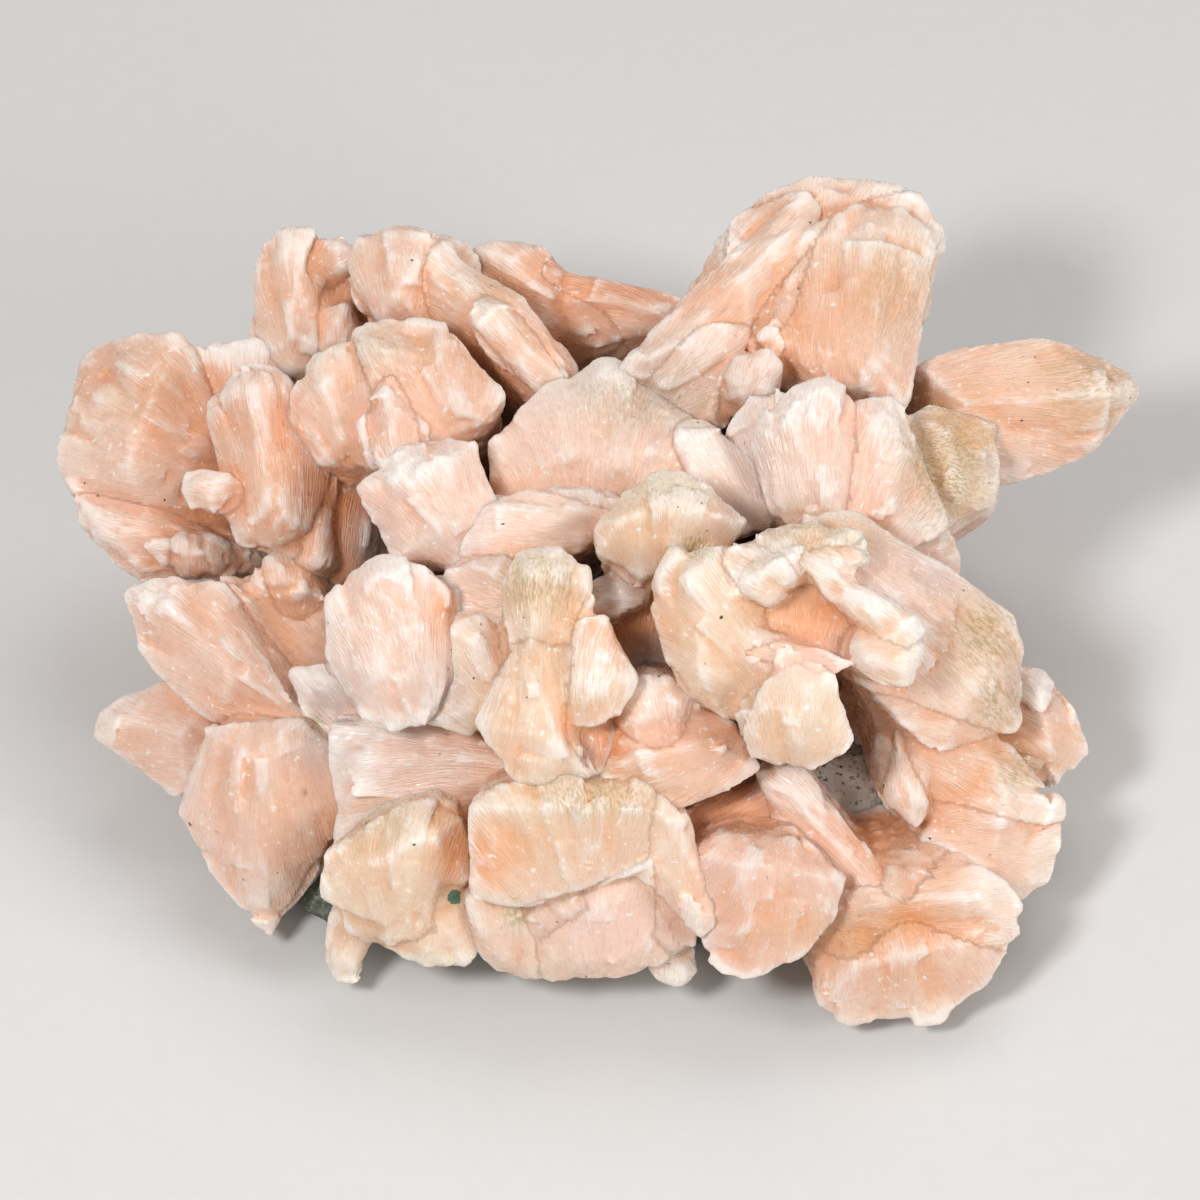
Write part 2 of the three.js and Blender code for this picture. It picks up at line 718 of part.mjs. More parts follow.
function sideBeam() {
  return [
    sheaf({
      face: [
        [-40, -18], [-30, -17], [-18, -19], [-9, -24], [-10, -28], [-24, -31],
        [-33, -34], [-39, -36], [-37, -27],
      ],
      near: 17, slope: [0.1, 0.1], rise: 3, ridge: [[-34, -22], [-14, -25]], root: [-18, -18, -10],
    }),
    sheaf({
      face: [[-46, -11], [-39, -9], [-32, -14], [-33, -23], [-43, -21]],
      near: 9, rise: 2, root: [-22, -16, -10],
    }),
  ];
}

function brightSheaf() {
  return [
    sheaf({
      face: [
        [-40.6, -8], [-39.6, 0], [-36.7, 4], [-33, 5.7], [-26, 5.5], [-22.5, 1.5],
        [-22.5, -12], [-26, -18], [-31, -19.5], [-35.5, -17.5],
      ],
      near: 29, slope: [0.1, 0.05], rise: 4,
      ridge: [[-33, 1], [-29, -2], [-33, -11]], root: [-20, -6, -8],
    }),
  ];
}

function bowtieSheaf() {
  return [
    // clear pale body on the left
    sheaf({
      face: [[-25, -3], [-18, -2.5], [-14, -6], [-13.5, -10], [-16, -16], [-19, -20.5], [-26, -18]],
      near: 26, rise: 2, root: [-14, -8, -8],
    }),
    // upper and lower fans
    sheaf({
      face: [
        [-15, 3], [-12, 7.3], [-6, 7.3], [-2, 5], [-1.2, 1], [-4, -5], [-8, -11],
        [-13, -10], [-14.5, -3],
      ],
      near: 33, slope: [0, -0.1], rise: 3, ridge: [[-11, 4], [-6, 4], [-10, -6]], root: [-8, -6, -4],
    }),
    sheaf({
      face: [[-14, -8], [-7, -8], [-4, -18], [-1.5, -26.5], [-8, -27.5], [-13, -27], [-18.5, -18]],
      near: 33, slope: [0, 0.1], rise: 3,
      ridge: [[-10, -11], [-12, -20], [-6, -22]], root: [-8, -10, -4],
    }),
    // white layered block
    sheaf({
      face: [[-5.8, -4], [0.5, -3.2], [3, -7], [5.6, -12], [3, -17], [-3, -19], [-7, -14], [-6.3, -8]],
      near: 35, rise: 2, root: [-2, -8, -2],
    }),
    sheaf({
      face: [[-4, -17], [2, -16.5], [4, -22], [-0.5, -27], [-5, -27]],
      near: 27, rise: 1, root: [-2, -12, -4],
    }),
  ];
}

function smallBeam() {
  return [
    sheaf({
      face: [[3, -13], [7, -11.7], [11, -12], [14.5, -15.5], [13, -20], [3, -20]],
      near: 30, rise: 2, root: [8, -8, -4],
    }),
    sheaf({
      face: [
        [2, -20], [5, -18], [12, -17], [19, -18], [21, -21], [24, -25], [19, -28.2],
        [12, -31], [7, -28], [0, -26.5],
      ],
      near: 29, slope: [-0.1, 0.1], rise: 3, ridge: [[6, -22], [18, -22]], root: [10, -14, -6],
    }),
  ];
}

// Sides and back
// These stand low behind the crystals above, where the front view doesn't reach.

function backLeftSheaves() {
  return [
    sideSheaf({ root: [-26, 18, 14], tip: [-46, 52, 27], width: 24, thickness: 15, roll: 0.3 }),
    sideSheaf({ root: [-16, 20, 14], tip: [-22, 58, 24], width: 24, thickness: 14, roll: -0.3 }),
    sideSheaf({ root: [-30, 12, 12], tip: [-65, 36, 25], width: 22, thickness: 14, roll: 0.2 }),
  ];
}

function backMiddleSheaf() {
  return [
    sideSheaf({ root: [4, 22, 16], tip: [4, 60, 27], width: 24, thickness: 16, roll: 0.4 }),
    sideSheaf({ root: [4, 24, 18], tip: [14, 56, 38], width: 16, thickness: 10, roll: -0.5 }),
  ];
}

function backRightSheaves() {
  return [
    sideSheaf({ root: [22, 18, 14], tip: [32, 56, 25], width: 24, thickness: 15, roll: -0.3 }),
    sideSheaf({ root: [28, 14, 12], tip: [57, 42, 26], width: 22, thickness: 14, roll: 0.3 }),
  ];
}

function lowLeftSheaf() {
  return [
    sideSheaf({ root: [-32, 4, 10], tip: [-60, 14, 17], width: 22, thickness: 14, roll: 0.3 }),
  ];
}

function lowRightSheaf() {
  return [
    sideSheaf({ root: [32, 6, 12], tip: [58, 5, 17], width: 22, thickness: 14, roll: -0.2 }),
  ];
}

// Each group is cut back by those before it, so the plainest come first.
const GROUPS = [
  { name: "low_left_sheaf", crystals: lowLeftSheaf(), color: DEEP_PEACH },
  { name: "bottom_right_sheaf", crystals: bottomRightSheaf(), color: PEACH },
  { name: "white_tuft", crystals: whiteTuft(), color: PALE_PEACH },
  { name: "back_middle_sheaf", crystals: backMiddleSheaf(), color: DEEP_PEACH },
  { name: "olive_sheaf", crystals: oliveSheaf(), color: CREAM },
  { name: "bright_sheaf", crystals: brightSheaf(), color: PALE_PEACH },
  { name: "back_blade", crystals: backBlade(), color: DEEP_PEACH },
  { name: "small_beam", crystals: smallBeam(), color: PEACH },
  { name: "back_left_sheaves", crystals: backLeftSheaves(), color: DEEP_PEACH },
  { name: "right_ridge_sheaves", crystals: rightRidgeSheaves(), color: PEACH },
  { name: "back_right_sheaves", crystals: backRightSheaves(), color: DEEP_PEACH },
  { name: "peak_sheaf", crystals: peakSheaf(), color: PALE_PEACH },
  { name: "faceted_sheaf", crystals: facetedSheaf(), color: PEACH },
  { name: "rough_knob", crystals: roughKnob(), color: CREAM },
  { name: "white_fan", crystals: whiteFan(), color: PALE_PEACH },
  { name: "low_right_sheaf", crystals: lowRightSheaf(), color: DEEP_PEACH },
  { name: "lower_left_sheaves", crystals: lowerLeftSheaves(), color: PEACH },
  { name: "tall_left_sheaf", crystals: tallLeftSheaf(), color: DEEP_PEACH },
  { name: "right_point_sheaf", crystals: rightPointSheaf(), color: PEACH },
  { name: "front_block", crystals: frontBlock(), color: CREAM },
  { name: "front_right_sheaf", crystals: frontRightSheaf(), color: PEACH },
  { name: "hollow_block", crystals: hollowBlock(), color: PEACH },
  { name: "upper_left_sheaves", crystals: upperLeftSheaves(), color: PEACH },
  { name: "side_beam", crystals: sideBeam(), color: PALE_PEACH },
  { name: "bowtie_sheaf", crystals: bowtieSheaf(), color: CREAM },
  { name: "crown_sheaf", crystals: crownSheaf(), color: PEACH },
  { name: "left_sheaves", crystals: leftSheaves(), color: DEEP_PEACH },
  { name: "flower_sheaf", crystals: flowerSheaf(), color: CREAM },
  { name: "front_left_sheaf", crystals: frontLeftSheaf(), color: CREAM },
];

function boxesMeet(a, b) {
  return a.box.intersectsBox(b.box);
}

const lumps = STONE_LUMPS.map(lumpPoints);
const stone = {
  solid: joined(lumps.map(convexSolid)),
  fat: joined(lumps.map((points) => convexSolid(grown(points, GROWTH_GAP)))),
};

const bodies = GROUPS.map(({ name, crystals, color }) => ({
  name,
  color,
  box: new THREE.Box3().setFromPoints(crystals.flat()).expandByScalar(GROWTH_GAP),
  solid: joined(crystals.map(convexSolid)),
  fat: joined(crystals.map((points) => convexSolid(grown(points, GROWTH_GAP)))),
}));

const cluster = new THREE.Group();
cluster.name = "stilbite_cluster";
cluster.position.copy(FRAME_SHIFT);
cluster.add(meshOf("matrix", stone.solid, BASALT));
bodies.forEach((body, index) => {
  const before = bodies.slice(0, index).filter((other) => boxesMeet(body, other));
  const cutter = joined([stone.fat, ...before.map((other) => other.fat)]);
  cluster.add(meshOf(body.name, largestPart(body.solid.subtract(cutter)), body.color));
});

export default cluster;
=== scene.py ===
"""Looks of the stilbite cluster: detailed meshes of the crystals and the stone, and their materials.

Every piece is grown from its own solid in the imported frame: the solid becomes a distance field, the
relief of blades and flakes is added in coordinates that fan out from each crystal's base, and the field
becomes a fine closed mesh. Lengths are in millimetres until the meshes are made, and metres after that.
"""

import json
import math

import bpy
import numpy as np
import openvdb
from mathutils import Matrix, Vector


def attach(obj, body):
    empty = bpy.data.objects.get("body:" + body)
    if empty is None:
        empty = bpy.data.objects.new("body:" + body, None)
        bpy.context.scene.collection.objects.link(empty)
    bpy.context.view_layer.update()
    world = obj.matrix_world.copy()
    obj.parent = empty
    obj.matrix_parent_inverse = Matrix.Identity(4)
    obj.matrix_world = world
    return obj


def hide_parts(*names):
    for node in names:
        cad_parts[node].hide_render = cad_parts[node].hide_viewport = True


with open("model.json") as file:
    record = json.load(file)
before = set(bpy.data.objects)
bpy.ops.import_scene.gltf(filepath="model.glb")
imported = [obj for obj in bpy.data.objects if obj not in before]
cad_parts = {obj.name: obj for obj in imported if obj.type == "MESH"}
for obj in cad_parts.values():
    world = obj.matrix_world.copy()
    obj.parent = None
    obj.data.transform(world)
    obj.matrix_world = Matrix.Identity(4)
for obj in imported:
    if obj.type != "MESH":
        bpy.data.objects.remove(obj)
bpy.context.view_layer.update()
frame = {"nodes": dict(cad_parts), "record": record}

MM = 0.001

# The photograph's view, the same as in the part's source
VIEW_ELEVATION = math.radians(50)
VIEW_DISTANCE = 1000.0
VIEW_HEIGHT = 35.0
FRAME_SHIFT = np.array([0.12, -2.79, 0.0])
SENSOR_WIDTH = 36.0
PHOTO_PIXELS = 1200
PIXELS_PER_MM = 6.75
PHOTO_WIDTH = PHOTO_PIXELS / PIXELS_PER_MM
CLIP_START = 0.01

# Meshing: sizes of the grids' cells, and how far from the surface the fields reach
VOXEL = 0.48
STONE_VOXEL = 1.0
BAND = 3.4
CRYSTAL_REACH = 2.4
STONE_REACH = 3.5
MARGIN_VOXELS = 8
FLATTENING = 0.04
SOFTEN_RADIUS = 0.8
SOFTEN_SHARE = 0.4

# The fan that the blades of a crystal follow: lengths as shares of the crystal's own length
APEX_SHARE = 0.7
LEAST_LENGTH_PER_WIDTH = 1.5
LEAST_HEIGHT = 0.2
TIP_START = 0.55
TIP_LENGTH = 0.4
CRYSTAL_OFFSETS = (37.0, 17.0, 29.0)
BEND_SIZE = 12.0
BEND_ACROSS = 1.2
BEND_FLAT = 1.5
BEND_OUT = 2.0
WOBBLE_SIZE = 3.0
WOBBLE = 0.3

# Relief of the blades
# A size is across the stack, across the blade and along it. A form is the step between neighbours, the
# tilt and the dome.
BLADE_SIZE = (3.6, 6.5, 9.0)
BLADE_FORM = (0.75, 1.40, 0.50)
BLADE_SEED = 3
FLAKE_SIZE = (1.3, 2.8, 4.5)
FLAKE_FORM = (0.26, 0.45, 0.20)
FLAKE_SEED = 31
PLATE_JITTER = 0.3
PLATES_MEAN = 0.55
SIDE_SHARE = 0.5
LUMP_RELIEF = 0.3
LUMP_SIZE = 8.0
GRAIN_RELIEF = 0.04
GRAIN_SIZE = 1.1
GROOVE_DEPTH = 0.3
GROOVE_WIDTH = 0.12
DRUSE_RELIEF = 0.5
DRUSE_SIZE = 1.3
DRUSE_LIFT = 0.2

# Crowding: how much of the space round a point is solid, seen on a coarse grid
SPACE_VOXEL = 1.0
SPACE_MARGIN = 14
SOLID_LIMIT = 0.3
NEAR_RADIUS = 2.0
FAR_RADIUS = 5.0
# How far above the surface the crowding is read, for the painted shade in hollows
RECESS_HEIGHT = 3.0
BURIED_LIMIT = 0.93
BURIED_CHANGE = 0.1
CREVICE_LIMIT = 0.62
CREVICE_CHANGE = 0.25
CREVICE_FILL = 1.3
RIM_RADIUS = 1.0

# Relief of the stone: height and size
STONE_LUMPS = (1.1, 9.0)
STONE_FACES = (0.7, 4.0)
STONE_GRAINS = (0.35, 1.7)
STONE_FACE_EDGE = 0.3
STONE_SHRINK = 0.6
STONE_FOOT = 3.0

# Patterns that only colour the crystals: how fast they change across, flat and out along the blades
BROAD_STREAKS = (0.8, 0.22, 0.12)
NARROW_STREAKS = (1.7, 0.5, 0.2)
NARROW_SHARE = 0.5
STREAK_MEAN = 0.5
STREAK_SPREAD = 0.16
CLOUD_SIZE = 8.0
SMALL_CLOUD_SIZE = 3.0
SMALL_CLOUD_SHARE = 0.5

# Marks fade from their middle outwards, and on faces that turn away from the front view
MARK_FALLOFF = 0.7
FRONT_START = 0.25
FRONT_CHANGE = 0.5

NOISE_CELLS = 64
noise_table = np.random.default_rng(7).uniform(-1, 1, (NOISE_CELLS,) * 3).astype(np.float32)


def place(x, up, near):
    """A place in the front view, in millimetres, as a point of the cluster."""
    shrink = (VIEW_DISTANCE - near) / VIEW_DISTANCE
    sin, cos = math.sin(VIEW_ELEVATION), math.cos(VIEW_ELEVATION)
    height = up * shrink
    y = height * sin - near * cos
    z = height * cos + near * sin + VIEW_HEIGHT
    return np.array([x * shrink, y, z]) + FRAME_SHIFT


def seen_from_front(points):
    """The x and up of points of the cluster in the front view."""
    sin, cos = math.sin(VIEW_ELEVATION), math.cos(VIEW_ELEVATION)
    x, y, z = (points - FRAME_SHIFT).T
    z = z - VIEW_HEIGHT
    near = z * sin - y * cos
    shrink = (VIEW_DISTANCE - near) / VIEW_DISTANCE
    return x / shrink, (y * sin + z * cos) / shrink


def front_direction():
    """From the cluster towards the front view's eye."""
    return np.array([0, -math.cos(VIEW_ELEVATION), math.sin(VIEW_ELEVATION)])


# The crystals of each node
# Each row: the free end, the base that its blades fan out from, and half its width. Ends and bases are
# places in the front view: x, up, near.
CRYSTALS = {
    "crown_sheaf": [
        ((42, 57, -8), (36, 28, 4), 11),
        ((38, 62, -16), (30, 40, -10), 12),
        ((30, 58, -7), (5, 33, 2), 7),
        ((24, 37, 6), (21, 29, 8), 5),
        ((16, 36, 1), (8, 29, 3), 7),
    ],
    "right_point_sheaf": [((79, 30, -12), (48, 28, -5), 11)],
    "olive_sheaf": [((58, 20, -2), (46, 22, 4), 9)],
    "white_fan": [
        ((30, 32, 14), (32, 8, 16), 8),
        ((45, 28, 11), (38, 8, 14), 8),
        ((22, 30, 9), (26, 17, 9), 4.5),
    ],
    "hollow_block": [
        ((-47, 54, -16), (-45, 36, -12), 6),
        ((-38, 53, -15), (-42, 49, -15), 4),
        ((-38, 44, -12), (-39, 35, -12), 5),
    ],
    "upper_left_sheaves": [
        ((-31, 55, -11), (-30, 42, -6), 8),
        ((-19, 52, -16), (-28, 47, -16), 5),
        ((-27, 48, -10), (-4, 33, 3), 7),
        ((-16, 43, 1), (-6, 32, 4), 5),
    ],
    "back_blade": [
        ((-16, 51, -20), (-2, 42, -16), 7),
        ((-8, 47, -18), (13, 42, -16), 6),
    ],
    "left_sheaves": [
        ((-75, 28, -14), (-56, 20, -6), 14),
        ((-75, 10, -10), (-60, 8, -6), 7),
        ((-61, 4, -4), (-61, 10, -4), 5),
        ((-54, 38, -14), (-53, 29, -12), 6),
    ],
    "tall_left_sheaf": [
        ((-52, 34, -1), (-47, 9, 4), 8),
        ((-63, 16, 4), (-55, 16, 4), 4),
        ((-39, 21, -6), (-39, 3, -6), 5),
        ((-43, 11, 0), (-43, 4, 0), 4),
    ],
    "faceted_sheaf": [
        ((-28, 41, 2), (-22, 25, 9), 10),
        ((-42, 35, 3), (-36, 21, 7), 7),
        ((-31, 32, 12), (-29, 20, 12), 5),
    ],
    "white_tuft": [((-30, 20, 17), (-21, 7, 18), 9)],
    "peak_sheaf": [
        ((0, 35, 4), (0, 14, 12), 13),
        ((-20, 12, 18), (0, 10, 18), 7),
        ((-22, 2, 23), (-12, 0, 23), 6),
        ((15, 24, 11), (23, 11, 12), 5),
    ],
    "rough_knob": [
        ((9, 19, 24), (8, 4, 25), 8),
        ((-3, 1, 22), (6, 1, 22), 4),
        ((5, 1, 15), (5, -12, 15), 6),
    ],
    "flower_sheaf": [
        ((9, 3, 31), (22, -10, 34), 10),
        ((30, 11, 32), (29, 3, 34), 7),
        ((22, 6, 37), (28, 1, 37), 5),
        ((45, -4, 34), (32, 5, 36), 5),
        ((46, -9, 33), (38, -8, 34), 5),
        ((30, 4, 31), (30, -10, 31), 8),
        ((22, -8, 35), (36, -9, 35), 4),
        ((28, -10, 39), (28, -25, 38), 7),
    ],
    "right_ridge_sheaves": [
        ((61, -12, 8), (34, 8, 27), 13),
        ((52, 8, 6), (42, 3, 9), 5),
        ((71, -20, -2), (60, -16, 3), 8),
        ((64, -28, 8), (42, -20, 15), 9),
        ((66, -38, 6), (50, -36, 12), 9),
        ((44, -20, 16), (46, -34, 16), 4),
    ],
    "bottom_right_sheaf": [
        ((52, -62, 10), (44, -45, 18), 11),
        ((60, -44, 17), (40, -46, 20), 8),
        ((25, -26, 21), (43, -45, 19), 5),
    ],
    "front_right_sheaf": [
        ((22, -54, 20), (26, -36, 28), 11),
        ((28, -27, 17), (12, -37, 17), 6),
    ],
    "front_block": [
        ((-8, -28, 31), (-4, -44, 28), 12),
        ((13, -34, 28), (13, -48, 22), 6),
        ((0, -42, 24), (0, -57, 14), 10),
        ((-14, -45, 18), (-13, -56, 14), 6),
        ((10, -56, 13), (9, -50, 15), 4),
    ],
    "front_left_sheaf": [
        ((-30, -31, 26), (-30, -47, 20), 10),
        ((-27, -54, 14), (-27, -43, 18), 8),
        ((-39, -57, 8), (-36, -46, 12), 4),
    ],
    "lower_left_sheaves": [
        ((-68, 0, 2), (-48, -15, 8), 10),
        ((-54, 3, 0), (-40, -10, 1), 6),
        ((-47, 8, 2), (-46, -1, 2), 5),
        ((-73, -18, -7), (-58, -21, -2), 8),
        ((-49, -48, 3), (-50, -19, 12), 12),
    ],
    "side_beam": [
        ((-38, -27, 15), (-10, -25, 18), 9),
        ((-44, -12, 9), (-33, -22, 9), 6),
    ],
    "bright_sheaf": [((-34, 5, 29), (-28, -18, 28), 10)],
    "bowtie_sheaf": [
        ((-24, -5, 26), (-16, -16, 26), 6),
        ((-8, 7, 33), (-9, -10, 33), 8),
        ((-9, -27, 32), (-9, -8, 34), 8),
        ((0, -4, 35), (-2, -19, 34), 6),
        ((0, -26, 27), (-1, -17, 28), 5),
    ],
    "small_beam": [
        ((6, -12, 30), (9, -19, 30), 5),
        ((5, -27, 29), (22, -20, 27), 7),
    ],
}

# The sheaves on the sides and the back, in the same way, as points of the cluster: x, y, z.
SIDE_CRYSTALS = {
    "back_left_sheaves": [
        ((-46, 52, 27), (-26, 18, 14), 12),
        ((-22, 58, 24), (-16, 20, 14), 12),
        ((-65, 36, 25), (-30, 12, 12), 11),
    ],
    "back_middle_sheaf": [
        ((4, 60, 27), (4, 22, 16), 12),
        ((14, 56, 38), (4, 24, 18), 8),
    ],
    "back_right_sheaves": [
        ((32, 56, 25), (22, 18, 14), 12),
        ((57, 42, 26), (28, 14, 12), 11),
    ],
    "low_left_sheaf": [((-60, 14, 17), (-32, 4, 10), 11)],
    "low_right_sheaf": [((58, 5, 17), (32, 6, 12), 11)],
}

# Marks
# Where the crystals are stained, frosted or deeper in colour: x, up, half width, half height, strength.
ORANGE_MARKS = [
    (-37, 12, 4, 8, 1.0), (-23, -1, 2, 4, 0.8), (5, -3, 5, 4, 1.0), (32, -3, 4.5, 3.5, 0.8),
    (0.5, -22, 3, 4, 0.9), (-22, -37, 2.5, 5, 1.0), (-17, -38, 4, 5, 0.8), (-13, -24, 3, 4, 0.5),
    (-5.5, -19, 2, 3, 0.6), (38, -50, 7, 3, 0.6), (46, -47, 3, 2, 0.9), (40, -35, 4, 3, 0.8),
    (18, 12, 2, 3, 0.6), (-8, 40, 6, 4, 0.4), (0, 47, 14, 4, 0.5), (34, 38, 6, 8, 0.35),
    (20, -32, 9, 4, 0.5), (34, -36, 9, 5, 0.4), (12, -22, 8, 4, 0.35), (56, 27, 6, 5, 0.3),
    (-44, 3, 6, 4, 0.5), (-58, 24, 3, 8, 0.3), (-48, 20, 4, 8, 0.3), (24, -47, 6, 5, 0.25),
    (68, 29, 10, 7, 0.2), (37, 46, 10, 10, 0.12),
]
OLIVE_MARKS = [
    (14, 8, 2, 2, 1.0), (-9, 2, 5, 4, 0.8), (0, -29, 9, 3, 0.8), (57, -5, 5, 5, 0.9),
    (59, -15, 3, 4, 0.9), (51, 20, 6, 8, 0.9), (72, 32, 7, 6, 0.6), (-12.5, -46.5, 1.5, 2, 1.0),
    (-42, -18, 1.5, 1.5, 1.0), (6, 30, 10, 4, 0.6), (44, 46, 6, 8, 0.5), (32, 11, 9, 3, 0.5),
    (62, -25, 4, 3, 0.7), (-33, 37, 6, 3, 0.4), (-17, 47, 4, 3, 0.4), (-32, -33, 6, 3, 0.4),
    (-68, 32, 6, 5, 0.25), (8, 16, 6, 3, 0.4), (38, -49, 6, 3, 0.5),
    (1, 25, 13, 9, 0.16), (68, 31, 11, 8, 0.14), (40, 50, 12, 10, 0.08),
]
FROST_MARKS = [
    (-30, 20, 6, 4, 0.9), (-66, 1, 6, 3, 0.9), (-54, 37, 8, 3, 1.0), (29, 29, 7, 5, 0.9),
    (43, 26, 5, 5, 0.8), (48, 11, 4, 3, 0.9), (35, -28, 5, 5, 0.7), (21, 3, 3, 3, 1.0),
    (26, 7, 5, 3, 1.0), (34, 5, 5, 3, 1.0), (41, 0, 5, 3, 1.0), (47, -5, 3, 4, 0.9),
    (22, -18, 3, 3, 0.7), (9, -16, 5, 3, 0.6), (-23, -17, 6, 3, 0.7), (-32, -19, 9, 3, 0.9),
    (11, -55, 4, 2, 0.8), (19, 53, 3, 4, 1.0), (46, 60, 7, 2, 0.9), (51, 52, 3, 8, 0.9),
    (-1, -11, 5, 6, 0.8), (-29, -6, 4, 7, 0.6), (-18, 14, 8, 3, 0.5), (24, 33, 4, 4, 0.6),
    (-47, 6, 5, 3, 0.5), (-70, -16, 4, 4, 0.5), (66, 24, 6, 3, 0.5), (-15, -54, 8, 2, 0.4),
]
LILAC_MARKS = [
    (-34, 9, 3, 4, 0.9), (-40, -14, 4, 4, 0.8), (-23, -13, 5, 4, 0.6), (-2, -24, 2, 3, 0.7),
    (50, 5, 5, 5, 0.6), (64, -13, 3, 3, 0.8), (21, 13, 6, 5, 0.6), (3, 1, 4, 3, 0.9),
    (7, -9, 3, 3, 0.8), (9, 32, 8, 6, 0.7), (-42, -22, 4, 4, 0.6), (22, 23, 3, 6, 0.6),
    (-24, 6, 6, 4, 0.3), (60, 20, 6, 2, 0.5), (-18, -8, 5, 6, 0.3),
]
PINK_MARKS = [
    (2, -49, 12, 7, 0.9), (-14, -50, 5, 4, 0.5), (20, -38, 9, 7, 0.6), (34, -37, 5, 8, 0.8),
    (31, -8, 7, 3, 0.9), (46, 3, 9, 6, 0.5), (-61, -34, 10, 9, 0.5), (-60, -10, 10, 7, 0.4),
    (-29, -25, 9, 4, 0.5), (-34, 28, 10, 6, 0.4), (38, 15, 6, 4, 0.6), (-75, 8, 6, 12, 0.4),
    (45, 38, 6, 8, 0.4), (-10, 26, 6, 5, 0.4), (12, -21, 6, 4, 0.5),
]
GREEN_MARKS = [(-21.5, -44, 1.2, 1.2, 1.0)]
DRUSE_MARKS = [(34, -28, 8, 8, 1.0), (10, 2, 8, 6, 0.8), (-30, -20, 8, 6, 0.8)]
CRYSTAL_MARKS = {
    "orange": ORANGE_MARKS,
    "olive": OLIVE_MARKS,
    "frost": FROST_MARKS,
    "lilac": LILAC_MARKS,
    "pink": PINK_MARKS,
    "green": GREEN_MARKS,
}


def smooth_step(x):
    """From 0 to 1 with a smooth start and end, and level beyond."""
    x = np.clip(x, 0, 1)
    return x * x * (3 - 2 * x)


def cell_noise(u, v, w, edge=1.0):
    """A random value in each cell of a lattice, with a smooth change over the last part of the cell."""
    corners = []
    weights = []
    for value in (u, v, w):
        low = np.floor(value)
        weights.append(smooth_step((value - low - (1 - edge)) / edge).astype(np.float32))
        index = low.astype(np.int64)
        corners.append((index % NOISE_CELLS, (index + 1) % NOISE_CELLS))
    total = np.zeros(len(u), np.float32)
    for a, b, c in np.ndindex(2, 2, 2):
        share = (weights[0] if a else 1 - weights[0]) * (weights[1] if b else 1 - weights[1])
        share = share * (weights[2] if c else 1 - weights[2])
        total += share * noise_table[corners[0][a], corners[1][b], corners[2][c]]
    return total


def solid_noise(points, size, offset=0.0):
    """Smooth noise through space, with lumps of one size; another offset gives another pattern."""
    u, v, w = (points / size + offset).T
    return cell_noise(u, v, w)


def plates(across, flat, out, size, seed, form):
    """Slightly domed, tilted plates that meet in grooves: their height, and a random tone of each."""
    step, tilt, dome = form
    place_in = np.stack([across, flat, out], axis=1) / size
    low = np.floor(place_in - 0.5).astype(np.int64)
    height = np.full(len(across), -np.inf, np.float32)
    tone = np.zeros(len(across), np.float32)
    for corner in np.ndindex(2, 2, 2):
        cell = low + corner
        i, j, k = ((cell + seed) % NOISE_CELLS).T
        shift = noise_table[i, j, k]
        rel = place_in - (cell + 0.5)
        rel -= PLATE_JITTER * np.stack([shift, noise_table[j, k, i], noise_table[k, i, j]], axis=1)
        own = step * noise_table[j, i, k] - dome * (rel ** 2).sum(axis=1)
        own += tilt * (noise_table[k, j, i] * rel[:, 1] + noise_table[i, k, j] * rel[:, 2])
        higher = own > height
        height[higher] = own[higher]
        tone[higher] = shift[higher]
    return height, tone


def crystals_of(node):
    """End, base and half width of each crystal of a node, as points of the cluster."""
    if node in SIDE_CRYSTALS:
        return [(np.array(tip) + FRAME_SHIFT, np.array(base) + FRAME_SHIFT, reach)
                for tip, base, reach in SIDE_CRYSTALS[node]]
    return [(place(*tip), place(*base), reach) for tip, base, reach in CRYSTALS[node]]


def nearest_crystal(points, crystals):
    """For each point, the crystal whose axis it is nearest to, and how clear that is."""
    scores = []
    for tip, base, reach in crystals:
        along = tip - base
        share = np.clip((points - base) @ along / (along @ along), 0, 1)
        away = points - base - share[:, None] * along
        scores.append(np.linalg.norm(away, axis=1) / reach)
    scores = np.array(scores)
    ordered = np.sort(scores, axis=0)
    lead = ordered[1] - ordered[0] if len(crystals) > 1 else np.ones(len(points))
    return scores.argmin(axis=0), lead


def fan_coordinates(points, crystals, owner):
    """Across the stack of blades, across each blade, and out along it, and how near the free end."""
    out = np.zeros((len(points), 4), np.float32)
    for number, (tip, base, reach) in enumerate(crystals):
        mine = owner == number
        axis = (tip - base) / np.linalg.norm(tip - base)
        length = max(np.linalg.norm(tip - base), LEAST_LENGTH_PER_WIDTH * reach)
        apex = tip - axis * length * (1 + APEX_SHARE)
        stack = np.cross(axis, front_direction())
        stack = stack / np.linalg.norm(stack)
        flat = np.cross(axis, stack)
        rel = points[mine] - apex
        height = np.maximum(rel @ axis, LEAST_HEIGHT * length)
        spread = length * (1 + APEX_SHARE) / height
        out[mine, 0] = rel @ stack * spread + number * CRYSTAL_OFFSETS[0]
        out[mine, 1] = rel @ flat * spread + number * CRYSTAL_OFFSETS[1]
        out[mine, 2] = np.linalg.norm(rel, axis=1) + number * CRYSTAL_OFFSETS[2]
        tip_start = length * (TIP_START + APEX_SHARE)
        out[mine, 3] = smooth_step((height - tip_start) / (TIP_LENGTH * length))
    return out


def bent_fan(points, fan):
    """Fan coordinates that wander a little, as grown blades do."""
    bend = solid_noise(points, BEND_SIZE)
    across = fan[:, 0] + BEND_ACROSS * bend + WOBBLE * solid_noise(points, WOBBLE_SIZE, offset=5.7)
    flat = fan[:, 1] + BEND_FLAT * solid_noise(points, BEND_SIZE, offset=21.3)
    return across, flat, fan[:, 2] + BEND_OUT * bend


